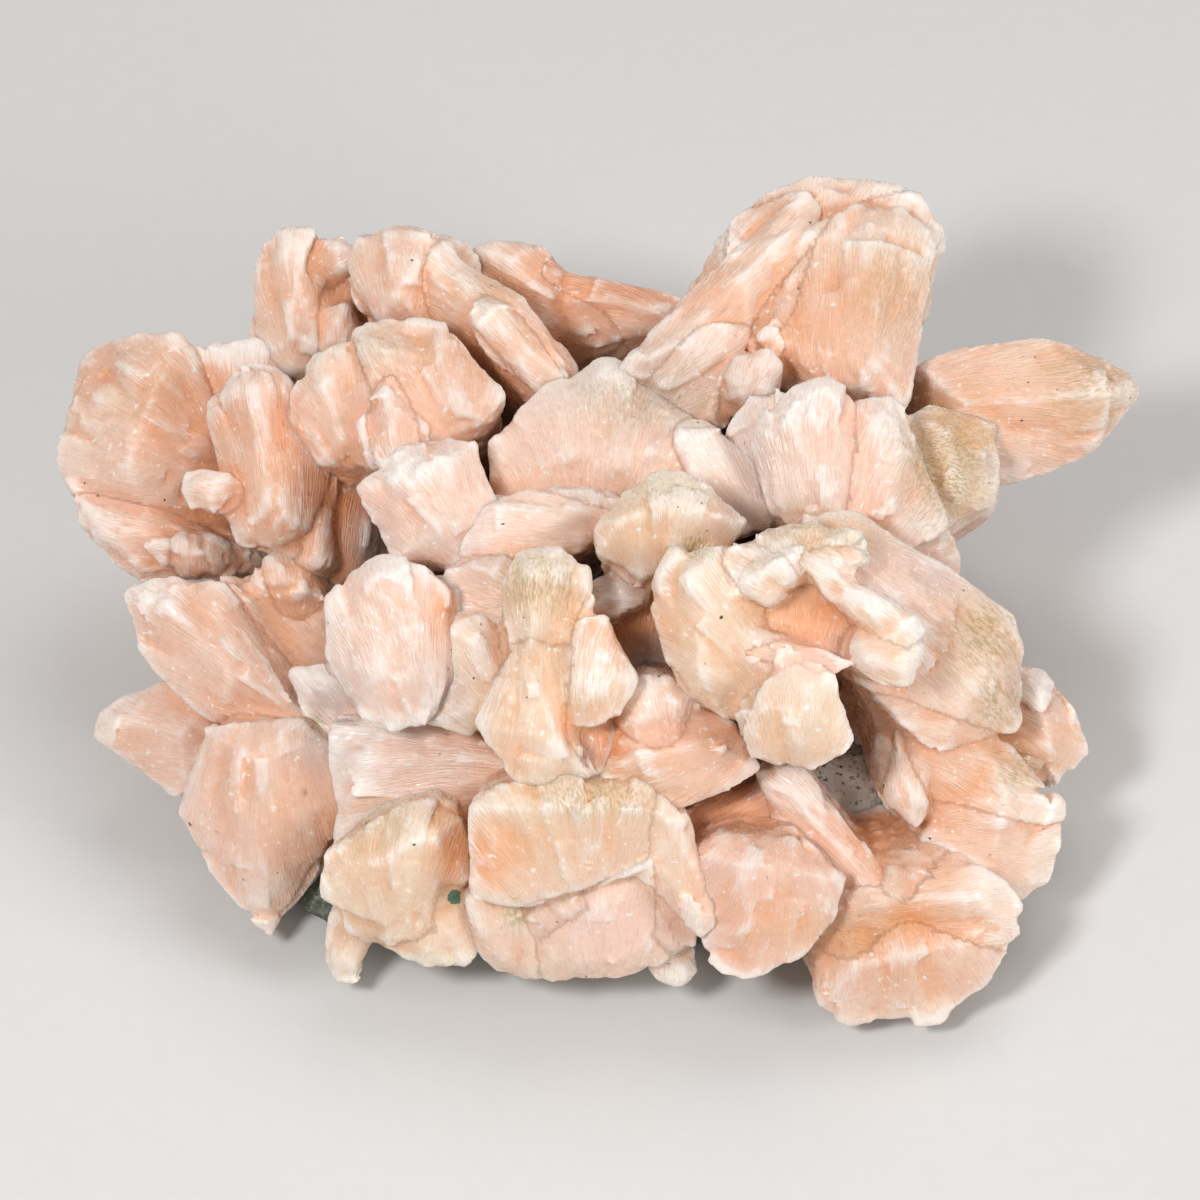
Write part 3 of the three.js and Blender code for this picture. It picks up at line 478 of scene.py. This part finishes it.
def blade_relief(points, fan, lead, shown):
    """How far the surface stands out, in millimetres."""
    bent = bent_fan(points, fan)
    relief = plates(*bent, BLADE_SIZE, BLADE_SEED, BLADE_FORM)[0]
    relief += plates(*bent, FLAKE_SIZE, FLAKE_SEED, FLAKE_FORM)[0] - PLATES_MEAN
    relief *= SIDE_SHARE + (1 - SIDE_SHARE) * fan[:, 3]
    relief += LUMP_RELIEF * solid_noise(points, LUMP_SIZE, offset=4.7)
    relief += GRAIN_RELIEF * solid_noise(points, GRAIN_SIZE, offset=2.1)
    relief -= GROOVE_DEPTH * np.exp(-((lead / GROOVE_WIDTH) ** 2))
    return relief * shown


def streak_pattern(across, flat, out):
    """Long streaks along the blades."""
    bent = (across, flat, out)
    broad = cell_noise(*(pace * value for pace, value in zip(BROAD_STREAKS, bent)))
    narrow = cell_noise(*(pace * value for pace, value in zip(NARROW_STREAKS, bent)))
    return broad + NARROW_SHARE * narrow


def stone_relief(points):
    """Rough broken faces of the stone; nothing at its flat underside."""
    relief = STONE_LUMPS[0] * solid_noise(points, STONE_LUMPS[1])
    relief += STONE_FACES[0] * cell_noise(*(points / STONE_FACES[1]).T, STONE_FACE_EDGE)
    relief += STONE_GRAINS[0] * solid_noise(points, STONE_GRAINS[1])
    return relief * smooth_step(points[:, 2] / STONE_FOOT)


def softened(field, radius):
    """The field blurred by a Gaussian of that radius in voxels."""
    reach = int(math.ceil(2.5 * radius))
    offsets = np.arange(-reach, reach + 1)
    weights = np.exp(-0.5 * (offsets / radius) ** 2)
    weights /= weights.sum()
    for axis in range(3):
        padded = np.pad(field, [(reach, reach) if a == axis else (0, 0) for a in range(3)], mode="edge")
        total = np.zeros_like(field)
        for offset, weight in zip(offsets, weights):
            window = [slice(None)] * 3
            window[axis] = slice(reach + offset, reach + offset + field.shape[axis])
            total += np.float32(weight) * padded[tuple(window)]
        field = total
    return field


def solid_field(obj, voxel):
    """Distance to a CAD solid's surface on a grid, negative inside, and the grid's first corner."""
    mesh = obj.data
    mesh.calc_loop_triangles()
    points = np.zeros(len(mesh.vertices) * 3, np.float32)
    mesh.vertices.foreach_get("co", points)
    points = points.reshape(-1, 3) / MM
    faces = np.zeros(len(mesh.loop_triangles) * 3, np.int32)
    mesh.loop_triangles.foreach_get("vertices", faces)
    transform = openvdb.createLinearTransform(voxelSize=voxel)
    triangles = faces.reshape(-1, 3).astype(np.uint32)
    grid = openvdb.FloatGrid.createLevelSetFromPolygons(
        points, triangles=triangles, transform=transform, halfWidth=BAND / voxel)
    first = np.floor(points.min(axis=0) / voxel).astype(int) - MARGIN_VOXELS
    last = np.ceil(points.max(axis=0) / voxel).astype(int) + MARGIN_VOXELS
    field = np.zeros(tuple(last - first + 1), np.float32)
    grid.copyToArray(field, ijk=tuple(int(i) for i in first))
    return field, first


def surface(field, first, voxel):
    """Points, in millimetres, and faces of the closed surface where the field is zero."""
    grid = openvdb.FloatGrid(float(field.max()))
    grid.transform = openvdb.createLinearTransform(voxelSize=voxel)
    grid.copyFromArray(field, ijk=tuple(int(i) for i in first))
    points, triangles, quads = grid.convertToPolygons(isovalue=0.0, adaptivity=FLATTENING)
    quads = np.array(quads, int).reshape(-1, 4)
    triangles = np.array(triangles, int).reshape(-1, 3)
    halves = np.concatenate([quads[:, [0, 1, 2]], quads[:, [0, 2, 3]]])
    return largest_shell(np.array(points, float), np.concatenate([triangles, halves]))


def edge_ends(faces):
    """Both ends of each side of each triangle."""
    return np.concatenate([faces[:, [0, 1]], faces[:, [1, 2]], faces[:, [2, 0]]])


def largest_shell(points, faces):
    """Only the biggest connected piece of a surface."""
    label = np.arange(len(points))
    ends = edge_ends(faces)
    while True:
        low = np.minimum(label[ends[:, 0]], label[ends[:, 1]])
        before = label.copy()
        np.minimum.at(label, ends[:, 0], low)
        np.minimum.at(label, ends[:, 1], low)
        label = label[label]
        if (label == before).all():
            break
    names, counts = np.unique(label, return_counts=True)
    kept = label == names[counts.argmax()]
    number = np.cumsum(kept) - 1
    return points[kept], number[faces[kept[faces[:, 0]]]]


def vertex_normals(points, faces):
    """The direction of the surface at each point, as the mean of the triangles round it."""
    start = points[faces[:, 0]]
    flat = np.cross(points[faces[:, 1]] - start, points[faces[:, 2]] - start)
    normals = np.zeros_like(points)
    for axis in range(3):
        for corner in range(3):
            normals[:, axis] += np.bincount(faces[:, corner], flat[:, axis], minlength=len(points))
    return normals / np.maximum(np.linalg.norm(normals, axis=1), 1e-9)[:, None]


def mark_strength(marks, x, up, front):
    """How strongly a list of marks shows at each point."""
    total = np.zeros(len(x))
    for mark_x, mark_up, half_width, half_height, strength in marks:
        distance = ((x - mark_x) / half_width) ** 2 + ((up - mark_up) / half_height) ** 2
        total = np.maximum(total, strength * np.exp(-MARK_FALLOFF * distance))
    return total * front


def shade(field, first, points, coarse):
    """The value of a coarse field at points, blended between its cells."""
    inside = np.clip(points / coarse - first, 0, np.array(field.shape) - 1.001)
    low = inside.astype(int)
    part = (inside - low).astype(np.float32)
    total = np.zeros(len(points), np.float32)
    for corner in np.ndindex(2, 2, 2):
        share = np.prod(np.where(corner, part, 1 - part), axis=1)
        index = low + corner
        total += share * field[index[:, 0], index[:, 1], index[:, 2]]
    return total


def filled_space(nodes):
    """Which places lie in a solid, and the grid's first corner."""
    boxes = [solid_field(obj, SPACE_VOXEL) for obj in nodes.values()]
    first = np.min([corner for _, corner in boxes], axis=0) - SPACE_MARGIN
    last = np.max([corner + field.shape for field, corner in boxes], axis=0) + SPACE_MARGIN
    whole = np.zeros(tuple(last - first), np.float32)
    for field, corner in boxes:
        start = corner - first
        window = tuple(slice(s, s + n) for s, n in zip(start, field.shape))
        whole[window] = np.maximum(whole[window], (field < SOLID_LIMIT).astype(np.float32))
    return whole, first


def set_attribute(mesh, name, values):
    """One number or one vector for each point of a mesh, for its material to read."""
    kind, field = ("FLOAT", "value") if values.ndim == 1 else ("FLOAT_VECTOR", "vector")
    attribute = mesh.attributes.new(name, kind, "POINT")
    attribute.data.foreach_set(field, values.astype(np.float32).ravel())


def new_piece(name, points, faces, material):
    """An object in the scene, smooth shaded, from points in millimetres and triangles."""
    mesh = bpy.data.meshes.new(name)
    mesh.vertices.add(len(points))
    mesh.vertices.foreach_set("co", (points * MM).astype(np.float32).ravel())
    mesh.loops.add(faces.size)
    mesh.loops.foreach_set("vertex_index", faces.astype(np.int32).ravel())
    mesh.polygons.add(len(faces))
    mesh.polygons.foreach_set("loop_start", np.arange(0, faces.size, 3, dtype=np.int32))
    mesh.polygons.foreach_set("use_smooth", np.ones(len(faces), bool))
    mesh.materials.append(material)
    mesh.update(calc_edges=True)
    piece = bpy.data.objects.new(name, mesh)
    bpy.context.scene.collection.objects.link(piece)
    return piece


def grown_field(node, crystals, space):
    """The distance field of one node of crystals with all its relief, and the grid's first corner."""
    field, first = solid_field(frame["nodes"][node], VOXEL)
    soft = softened(field, SOFTEN_RADIUS / VOXEL)
    field = (1 - SOFTEN_SHARE) * field + SOFTEN_SHARE * soft
    near = np.abs(field) < CRYSTAL_REACH
    points = (np.argwhere(near) + first) * VOXEL
    owner, lead = nearest_crystal(points, crystals)
    fan = fan_coordinates(points, crystals, owner)
    crowding = shade(space["near"], space["first"], points, SPACE_VOXEL)
    shown = smooth_step((BURIED_LIMIT - crowding) / BURIED_CHANGE)
    field[near] -= blade_relief(points, fan, lead, shown)
    druse = mark_strength(FROST_MARKS, *seen_from_front(points), shown)
    field[near] -= DRUSE_RELIEF * druse * (solid_noise(points, DRUSE_SIZE, offset=3.3) + DRUSE_LIFT)
    field[near] -= CREVICE_FILL * smooth_step((crowding - CREVICE_LIMIT) / CREVICE_CHANGE) * shown
    return np.clip(field, -CRYSTAL_REACH, CRYSTAL_REACH), first


def crystal_piece(node, material, space):
    """The detailed mesh of one node of crystals."""
    crystals = crystals_of(node)
    field, first = grown_field(node, crystals, space)
    points, faces = surface(field, first, VOXEL)
    piece = new_piece(node + "_crystals", points, faces, material)
    add_looks(piece.data, points, faces, crystals, space)
    # Rim: above zero at convex edges and below zero in creases; from it the material paints light on the
    # edges and shade in the creases
    around = softened(np.ascontiguousarray(field[::2, ::2, ::2]), RIM_RADIUS / (2 * VOXEL))
    set_attribute(piece.data, "rim", shade(around, first / 2, points, 2 * VOXEL))
    return piece


def add_looks(mesh, points, faces, crystals, space):
    """Attributes that the crystal material reads."""
    normals = vertex_normals(points, faces)
    owner, _ = nearest_crystal(points, crystals)
    fan = fan_coordinates(points, crystals, owner)
    bent = bent_fan(points, fan)
    x, up = seen_from_front(points)
    front = smooth_step((normals @ front_direction() + FRONT_START) / FRONT_CHANGE)
    above = points + RECESS_HEIGHT * normals
    clouds = solid_noise(points, CLOUD_SIZE, offset=9.1)
    clouds = clouds + SMALL_CLOUD_SHARE * solid_noise(points, SMALL_CLOUD_SIZE, offset=1.7)
    set_attribute(mesh, "fan", np.stack(bent, axis=1))
    # How enclosed the space above each point is: the material paints shade there
    set_attribute(mesh, "recess", shade(space["far"], space["first"], above, SPACE_VOXEL))
    set_attribute(mesh, "tip", fan[:, 3])
    set_attribute(mesh, "tone", plates(*bent, BLADE_SIZE, BLADE_SEED, BLADE_FORM)[1])
    set_attribute(mesh, "streaks", STREAK_MEAN + STREAK_SPREAD * streak_pattern(*bent))
    set_attribute(mesh, "clouds", clouds)
    for name, marks in CRYSTAL_MARKS.items():
        set_attribute(mesh, name, mark_strength(marks, x, up, front))


def stone_piece(material):
    """The detailed mesh of the stone."""
    field, first = solid_field(frame["nodes"]["matrix"], STONE_VOXEL)
    near = np.abs(field) < STONE_REACH
    points = (np.argwhere(near) + first) * STONE_VOXEL
    field[near] += STONE_SHRINK * smooth_step(points[:, 2] / STONE_FOOT) - stone_relief(points)
    heights = (np.arange(field.shape[2]) + first[2]) * STONE_VOXEL
    field = np.maximum(field, -heights[None, None, :].astype(np.float32))
    points, faces = surface(field, first, STONE_VOXEL)
    piece = new_piece("matrix_stone", points, faces, material)
    x, up = seen_from_front(points)
    set_attribute(piece.data, "druse", mark_strength(DRUSE_MARKS, x, up, 1.0))
    return piece


class Shader:
    """Short calls that add nodes to one material."""

    def __init__(self, name):
        self.material = bpy.data.materials.new(name)
        self.material.use_nodes = True
        self.tree = self.material.node_tree
        self.surface = self.tree.nodes["Principled BSDF"]

    def link(self, value, socket):
        """Connect another socket, or set a colour or a number."""
        if isinstance(value, bpy.types.NodeSocket):
            self.tree.links.new(value, socket)
        elif isinstance(value, tuple) and len(value) == 3 and socket.type == "RGBA":
            socket.default_value = (*value, 1)
        else:
            socket.default_value = value

    def attribute(self, name, output="Fac"):
        node = self.tree.nodes.new("ShaderNodeAttribute")
        node.attribute_name = name
        return node.outputs[output]

    def position(self):
        return self.tree.nodes.new("ShaderNodeNewGeometry").outputs["Position"]

    def math(self, operation, a, b):
        node = self.tree.nodes.new("ShaderNodeMath")
        node.operation = operation
        self.link(a, node.inputs[0])
        self.link(b, node.inputs[1])
        return node.outputs[0]

    def scaled(self, vector, factors):
        node = self.tree.nodes.new("ShaderNodeVectorMath")
        node.operation = "MULTIPLY"
        self.link(vector, node.inputs[0])
        node.inputs[1].default_value = factors
        return node.outputs[0]

    def noise(self, vector, scale, detail=3.0, roughness=0.55):
        node = self.tree.nodes.new("ShaderNodeTexNoise")
        self.link(vector, node.inputs["Vector"])
        node.inputs["Scale"].default_value = scale
        node.inputs["Detail"].default_value = detail
        node.inputs["Roughness"].default_value = roughness
        return node.outputs["Fac"]

    def between(self, value, low, high, to_low=0.0, to_high=1.0):
        """A smooth change from to_low, where the value is low, to to_high, where it is high."""
        node = self.tree.nodes.new("ShaderNodeMapRange")
        node.interpolation_type = "SMOOTHSTEP"
        for socket, number in zip(node.inputs[1:5], (low, high, to_low, to_high)):
            socket.default_value = number
        self.link(value, node.inputs[0])
        return node.outputs[0]

    def mix(self, share, a, b):
        node = self.tree.nodes.new("ShaderNodeMix")
        node.data_type = "RGBA"
        self.link(share, node.inputs[0])
        self.link(a, node.inputs[6])
        self.link(b, node.inputs[7])
        return node.outputs[2]

    def bump(self, height, distance, strength=1.0, below=None):
        node = self.tree.nodes.new("ShaderNodeBump")
        node.inputs["Strength"].default_value = strength
        node.inputs["Distance"].default_value = distance
        self.link(height, node.inputs["Height"])
        if below is not None:
            self.link(below, node.inputs["Normal"])
        return node.outputs["Normal"]


# Colours
WHITE = (0.95, 0.89, 0.84)
PINK = (0.88, 0.60, 0.51)
DEEP_ORANGE = (0.86, 0.33, 0.12)
OLIVE = (0.42, 0.30, 0.12)
LILAC = (0.62, 0.50, 0.47)
MOSS_GREEN = (0.10, 0.20, 0.12)
SPECK = (0.04, 0.035, 0.03)
STONE_DARK = (0.05, 0.058, 0.046)
STONE_GREEN = (0.20, 0.235, 0.18)
STONE_PALE = (0.38, 0.43, 0.34)
STONE_DRUSE = (0.90, 0.82, 0.76)

# Pale, usual and deep colour of each kind of crystal; the deep colour is also the painted shade in hollows
# and creases
CRYSTAL_COLOURS = {
    "peach_stilbite": ((0.90, 0.70, 0.58), (0.83, 0.53, 0.39), (0.80, 0.37, 0.19)),
    "pale_peach_stilbite": ((0.92, 0.78, 0.70), (0.85, 0.62, 0.52), (0.84, 0.47, 0.31)),
    "cream_stilbite": ((0.90, 0.76, 0.61), (0.82, 0.58, 0.41), (0.80, 0.43, 0.23)),
    "deep_peach_stilbite": ((0.87, 0.65, 0.53), (0.78, 0.46, 0.33), (0.78, 0.33, 0.16)),
}

# Fine patterns: across, flat and out along the blades, or grains to the metre
FINE_STREAKS = (3.2, 0.8, 0.3)
STAIN_DASHES = (2.0, 1.5, 0.8)
GRAINS = 900.0
STONE_PATCHES = 160.0
STONE_SANDS = 1300.0
FLOOR_MOTTLE = 300.0

# Where a pattern starts to show and where it shows fully, and how much it shows at each
# A single number is how much of a fine pattern is added first, for a ragged edge
CLOUDS_PALE = (-0.4, 0.5)
BASE_DEEP = (0.9, 0.0, 0.0, 0.4)
TONE_PALE = (-1.0, 1.0, 0.0, 0.25)
STREAKS_PALE = (0.50, 0.70, 0.0, 0.4)
STREAKS_DEEP = (0.44, 0.26, 0.0, 0.2)
# Painted shade: deep colour in creases, where the rim value is below zero
CREASE_PAINTED_SHADE = (-0.05, -0.4, 0.0, 0.6)
# Painted shade: deep colour where the space above the surface is enclosed, in hollows and between crystals
RECESS_PAINTED_SHADE = (0.42, 0.72, 0.0, 0.85)
ORANGE_STREAKS = (0.2, 0.6, 0.5, 1.0)
RIM_UNEVEN = 0.4
# Whiter edges: partly the blades' own pale edges, partly painted light glowing through thin edges
RIM_PALE_AND_PAINTED_GLOW = (0.20, 0.60, 0.0, 0.6)
FLECK_SIZE = 1.2
FLECKS_WHITE = (0.95, 1.6, 0.0, 0.7)
VEILS_WHITE = (0.55, 0.72, 0.0, 0.22)
VEILS_PLACE = (0.4, 0.6)
# Painted highlights: small white glints at random points of the grain
PAINTED_GLINTS = (0.68, 0.74, 0.0, 0.7)
STAIN_UNEVEN = (0.45, 0.62, 0.35, 0.95)
GREEN_UNEVEN = 0.6
GREEN_EDGE = (0.85, 0.95)
SPECKS_DARK = (0.24, 0.20)
SPECKS_PLACE = (0.1, 0.3)
GLOSS = (0.3, 0.7, 0.22, 0.40)
PATCHES_GREEN = (0.35, 0.65)
SANDS_PALE = (0.5, 0.75, 0.0, 0.6)
DRUSE_UNEVEN = (0.3, 0.45)

# Surfaces: lengths in metres
GLOW = 0.75
GLOW_RADIUS = (1.0, 0.9, 0.82)
GLOW_DEPTH = 0.0016
REFRACTION = 1.5
STREAK_BUMP = 0.00025
STONE_ROUGHNESS = 0.85
SAND_BUMP = 0.0004
PATCH_BUMP = 0.0015
STONE_BUMP_STRENGTH = 0.8


def grown_colour_and_painted_shade(shader, streaks, rim, pale, body, deep):
    """Cloudy colour: deeper at the base and paler along some streaks, with painted shade in the deep colour
    in hollows and creases.
    """
    colour = shader.mix(shader.between(shader.attribute("clouds"), *CLOUDS_PALE), body, pale)
    colour = shader.mix(shader.between(shader.attribute("tip"), *BASE_DEEP), colour, deep)
    colour = shader.mix(shader.between(shader.attribute("tone"), *TONE_PALE), colour, pale)
    colour = shader.mix(shader.between(streaks, *STREAKS_PALE), colour, pale)
    colour = shader.mix(shader.between(streaks, *STREAKS_DEEP), colour, deep)
    # Painted shade in the creases
    colour = shader.mix(shader.between(rim, *CREASE_PAINTED_SHADE), colour, deep)
    # Painted shade in the hollows
    return shader.mix(shader.between(shader.attribute("recess"), *RECESS_PAINTED_SHADE), colour, deep)


def tinted(shader, colour, streaks):
    """Pink, deep orange and lilac places."""
    colour = shader.mix(shader.attribute("pink"), colour, PINK)
    orange = shader.math("MULTIPLY", shader.attribute("orange"), shader.between(streaks, *ORANGE_STREAKS))
    colour = shader.mix(orange, colour, DEEP_ORANGE)
    return shader.mix(shader.attribute("lilac"), colour, LILAC)


def whitened(shader, colour, streaks, fine_streaks, rim, grain):
    """White along the edges of the blades, partly their own pale edges and partly painted light glowing
    through the thin edges, and as frost and veils, and painted glints.
    """
    # Edges whitened: partly their own pale edges, partly painted edge glow
    uneven_rim = shader.math("ADD", rim, shader.math("MULTIPLY", fine_streaks, RIM_UNEVEN))
    colour = shader.mix(shader.between(uneven_rim, *RIM_PALE_AND_PAINTED_GLOW), colour, WHITE)
    flecks = shader.math("ADD", shader.attribute("frost"), shader.math("MULTIPLY", fine_streaks, FLECK_SIZE))
    frost = shader.between(flecks, *FLECKS_WHITE)
    veils = shader.between(fine_streaks, *VEILS_WHITE)
    veils = shader.math("MULTIPLY", veils, shader.between(streaks, *VEILS_PLACE))
    frost = shader.math("MAXIMUM", frost, veils)
    # Painted highlights: the glints are added into frost, which from here holds frost, veils and painted
    # glints
    frost = shader.math("MAXIMUM", frost, shader.between(grain, *PAINTED_GLINTS))
    return shader.mix(frost, colour, WHITE)


def stained(shader, colour, fan, grain):
    """Olive stains, one green spot and dark specks."""
    dashes = shader.noise(shader.scaled(fan, STAIN_DASHES), 1.0, 1.0)
    stain = shader.between(dashes, *STAIN_UNEVEN)
    stain = shader.math("MULTIPLY", shader.attribute("olive"), stain)
    colour = shader.mix(stain, colour, OLIVE)
    green = shader.math("ADD", shader.attribute("green"), shader.math("MULTIPLY", grain, GREEN_UNEVEN))
    colour = shader.mix(shader.between(green, *GREEN_EDGE), colour, MOSS_GREEN)
    specks = shader.between(grain, *SPECKS_DARK)
    specks = shader.math("MULTIPLY", specks, shader.between(shader.attribute("clouds"), *SPECKS_PLACE))
    return shader.mix(specks, colour, SPECK)


def stilbite(name, pale, body, deep):
    """Translucent pearly crystal: its pale, usual and deep colour."""
    shader = Shader(name)
    fan = shader.attribute("fan", "Vector")
    rim = shader.attribute("rim")
    streaks = shader.attribute("streaks")
    fine_streaks = shader.noise(shader.scaled(fan, FINE_STREAKS), 1.0, 1.0)
    grain = shader.noise(shader.position(), GRAINS, 1.0)
    colour = grown_colour_and_painted_shade(shader, streaks, rim, pale, body, deep)
    colour = tinted(shader, colour, streaks)
    colour = whitened(shader, colour, streaks, fine_streaks, rim, grain)
    colour = stained(shader, colour, fan, grain)
    shader.link(colour, shader.surface.inputs["Base Color"])
    shader.link(shader.between(grain, *GLOSS), shader.surface.inputs["Roughness"])
    shader.surface.subsurface_method = "BURLEY"
    shader.surface.inputs["Subsurface Weight"].default_value = GLOW
    shader.surface.inputs["Subsurface Radius"].default_value = GLOW_RADIUS
    shader.surface.inputs["Subsurface Scale"].default_value = GLOW_DEPTH
    shader.surface.inputs["IOR"].default_value = REFRACTION
    shader.link(shader.bump(fine_streaks, STREAK_BUMP), shader.surface.inputs["Normal"])
    return shader.material


def basalt():
    """Dull green stone with pale and dark patches."""
    shader = Shader("basalt_stone")
    spot = shader.position()
    patches = shader.noise(spot, STONE_PATCHES, 6.0, 0.65)
    sands = shader.noise(spot, STONE_SANDS, 3.0)
    colour = shader.mix(shader.between(patches, *PATCHES_GREEN), STONE_DARK, STONE_GREEN)
    colour = shader.mix(shader.between(sands, *SANDS_PALE), colour, STONE_PALE)
    druse = shader.math("MULTIPLY", shader.attribute("druse"), shader.between(sands, *DRUSE_UNEVEN))
    colour = shader.mix(druse, colour, STONE_DRUSE)
    shader.link(colour, shader.surface.inputs["Base Color"])
    shader.surface.inputs["Roughness"].default_value = STONE_ROUGHNESS
    relief = shader.bump(sands, SAND_BUMP, STONE_BUMP_STRENGTH)
    relief = shader.bump(patches, PATCH_BUMP, STONE_BUMP_STRENGTH, relief)
    shader.link(relief, shader.surface.inputs["Normal"])
    return shader.material


def make_materials():
    """One material for each slot of the record."""
    materials = {name: stilbite(name, *colours) for name, colours in CRYSTAL_COLOURS.items()}
    materials["basalt"] = basalt()
    return materials


def make_camera():
    """The photograph's view."""
    data = bpy.data.cameras.new("photo_camera")
    data.sensor_width = SENSOR_WIDTH
    data.lens = SENSOR_WIDTH * VIEW_DISTANCE / PHOTO_WIDTH
    data.clip_start = CLIP_START
    camera = bpy.data.objects.new("photo_camera", data)
    bpy.context.scene.collection.objects.link(camera)
    centre = np.array([0, 0, VIEW_HEIGHT]) + FRAME_SHIFT
    camera.location = Vector((centre + VIEW_DISTANCE * front_direction()) * MM)
    camera.rotation_euler = (math.pi / 2 - VIEW_ELEVATION, 0, 0)
    bpy.context.scene.camera = camera


# Studio: lengths in metres
FLOOR_HALF = 3.0
FLOOR_ROUGHNESS = 0.9
FLOOR_COLOURS = ((0.68, 0.67, 0.66), (0.71, 0.70, 0.69))
WORLD_COLOUR = (1, 0.985, 0.97, 1)
WORLD_STRENGTH = 0.31
LIGHT_TARGET = (0, 0, 0.03)

# Each light's place, size and watts
LIGHTS = {
    "key_light": ((-0.28, -0.42, 0.66), 0.14, 3.5),
    "top_light": ((0.15, 0.35, 0.85), 0.5, 2.1),
    "right_light": ((0.6, -0.35, 0.4), 0.3, 2.2),
}


def soft_light(name, location, size, watts):
    """A square light that points at the cluster."""
    data = bpy.data.lights.new(name, "AREA")
    data.size = size
    data.energy = watts
    light = bpy.data.objects.new(name, data)
    light.location = location
    towards = Vector(LIGHT_TARGET) - Vector(location)
    light.rotation_euler = towards.to_track_quat("-Z", "Y").to_euler()
    bpy.context.scene.collection.objects.link(light)


def make_floor():
    """A plain pale floor."""
    low, high = -FLOOR_HALF, FLOOR_HALF
    mesh = bpy.data.meshes.new("floor")
    corners = [(low, low, 0), (high, low, 0), (high, high, 0), (low, high, 0)]
    mesh.from_pydata(corners, [], [(0, 1, 2, 3)])
    shader = Shader("pale_floor")
    mottle = shader.noise(shader.position(), FLOOR_MOTTLE)
    shader.link(shader.mix(mottle, *FLOOR_COLOURS), shader.surface.inputs["Base Color"])
    shader.surface.inputs["Roughness"].default_value = FLOOR_ROUGHNESS
    mesh.materials.append(shader.material)
    floor = bpy.data.objects.new("floor", mesh)
    bpy.context.scene.collection.objects.link(floor)


def make_studio():
    """The floor, an even dim light from everywhere, and soft lights."""
    make_floor()
    scene = bpy.context.scene
    world = bpy.data.worlds.new("studio")
    world.use_nodes = True
    background = world.node_tree.nodes["Background"]
    background.inputs["Color"].default_value = WORLD_COLOUR
    background.inputs["Strength"].default_value = WORLD_STRENGTH
    scene.world = world
    scene.view_settings.view_transform = "Standard"
    scene.cycles.max_bounces = 4
    scene.cycles.diffuse_bounces = 2
    scene.cycles.glossy_bounces = 1
    for name, (location, size, watts) in LIGHTS.items():
        soft_light(name, location, size, watts)


make_camera()
make_studio()
materials = make_materials()
whole, first_corner = filled_space(frame["nodes"])
space = {
    "first": first_corner,
    "near": softened(whole, NEAR_RADIUS),
    "far": softened(whole, FAR_RADIUS),
}
slots = {row["node"]: row["material_slot"] for row in frame["record"]["subparts"]}
for node in [*CRYSTALS, *SIDE_CRYSTALS]:
    piece = crystal_piece(node, materials[slots[node]], space)
    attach(piece, "root")
    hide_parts(node)
stone = stone_piece(materials["basalt"])
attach(stone, "root")
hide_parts("matrix")
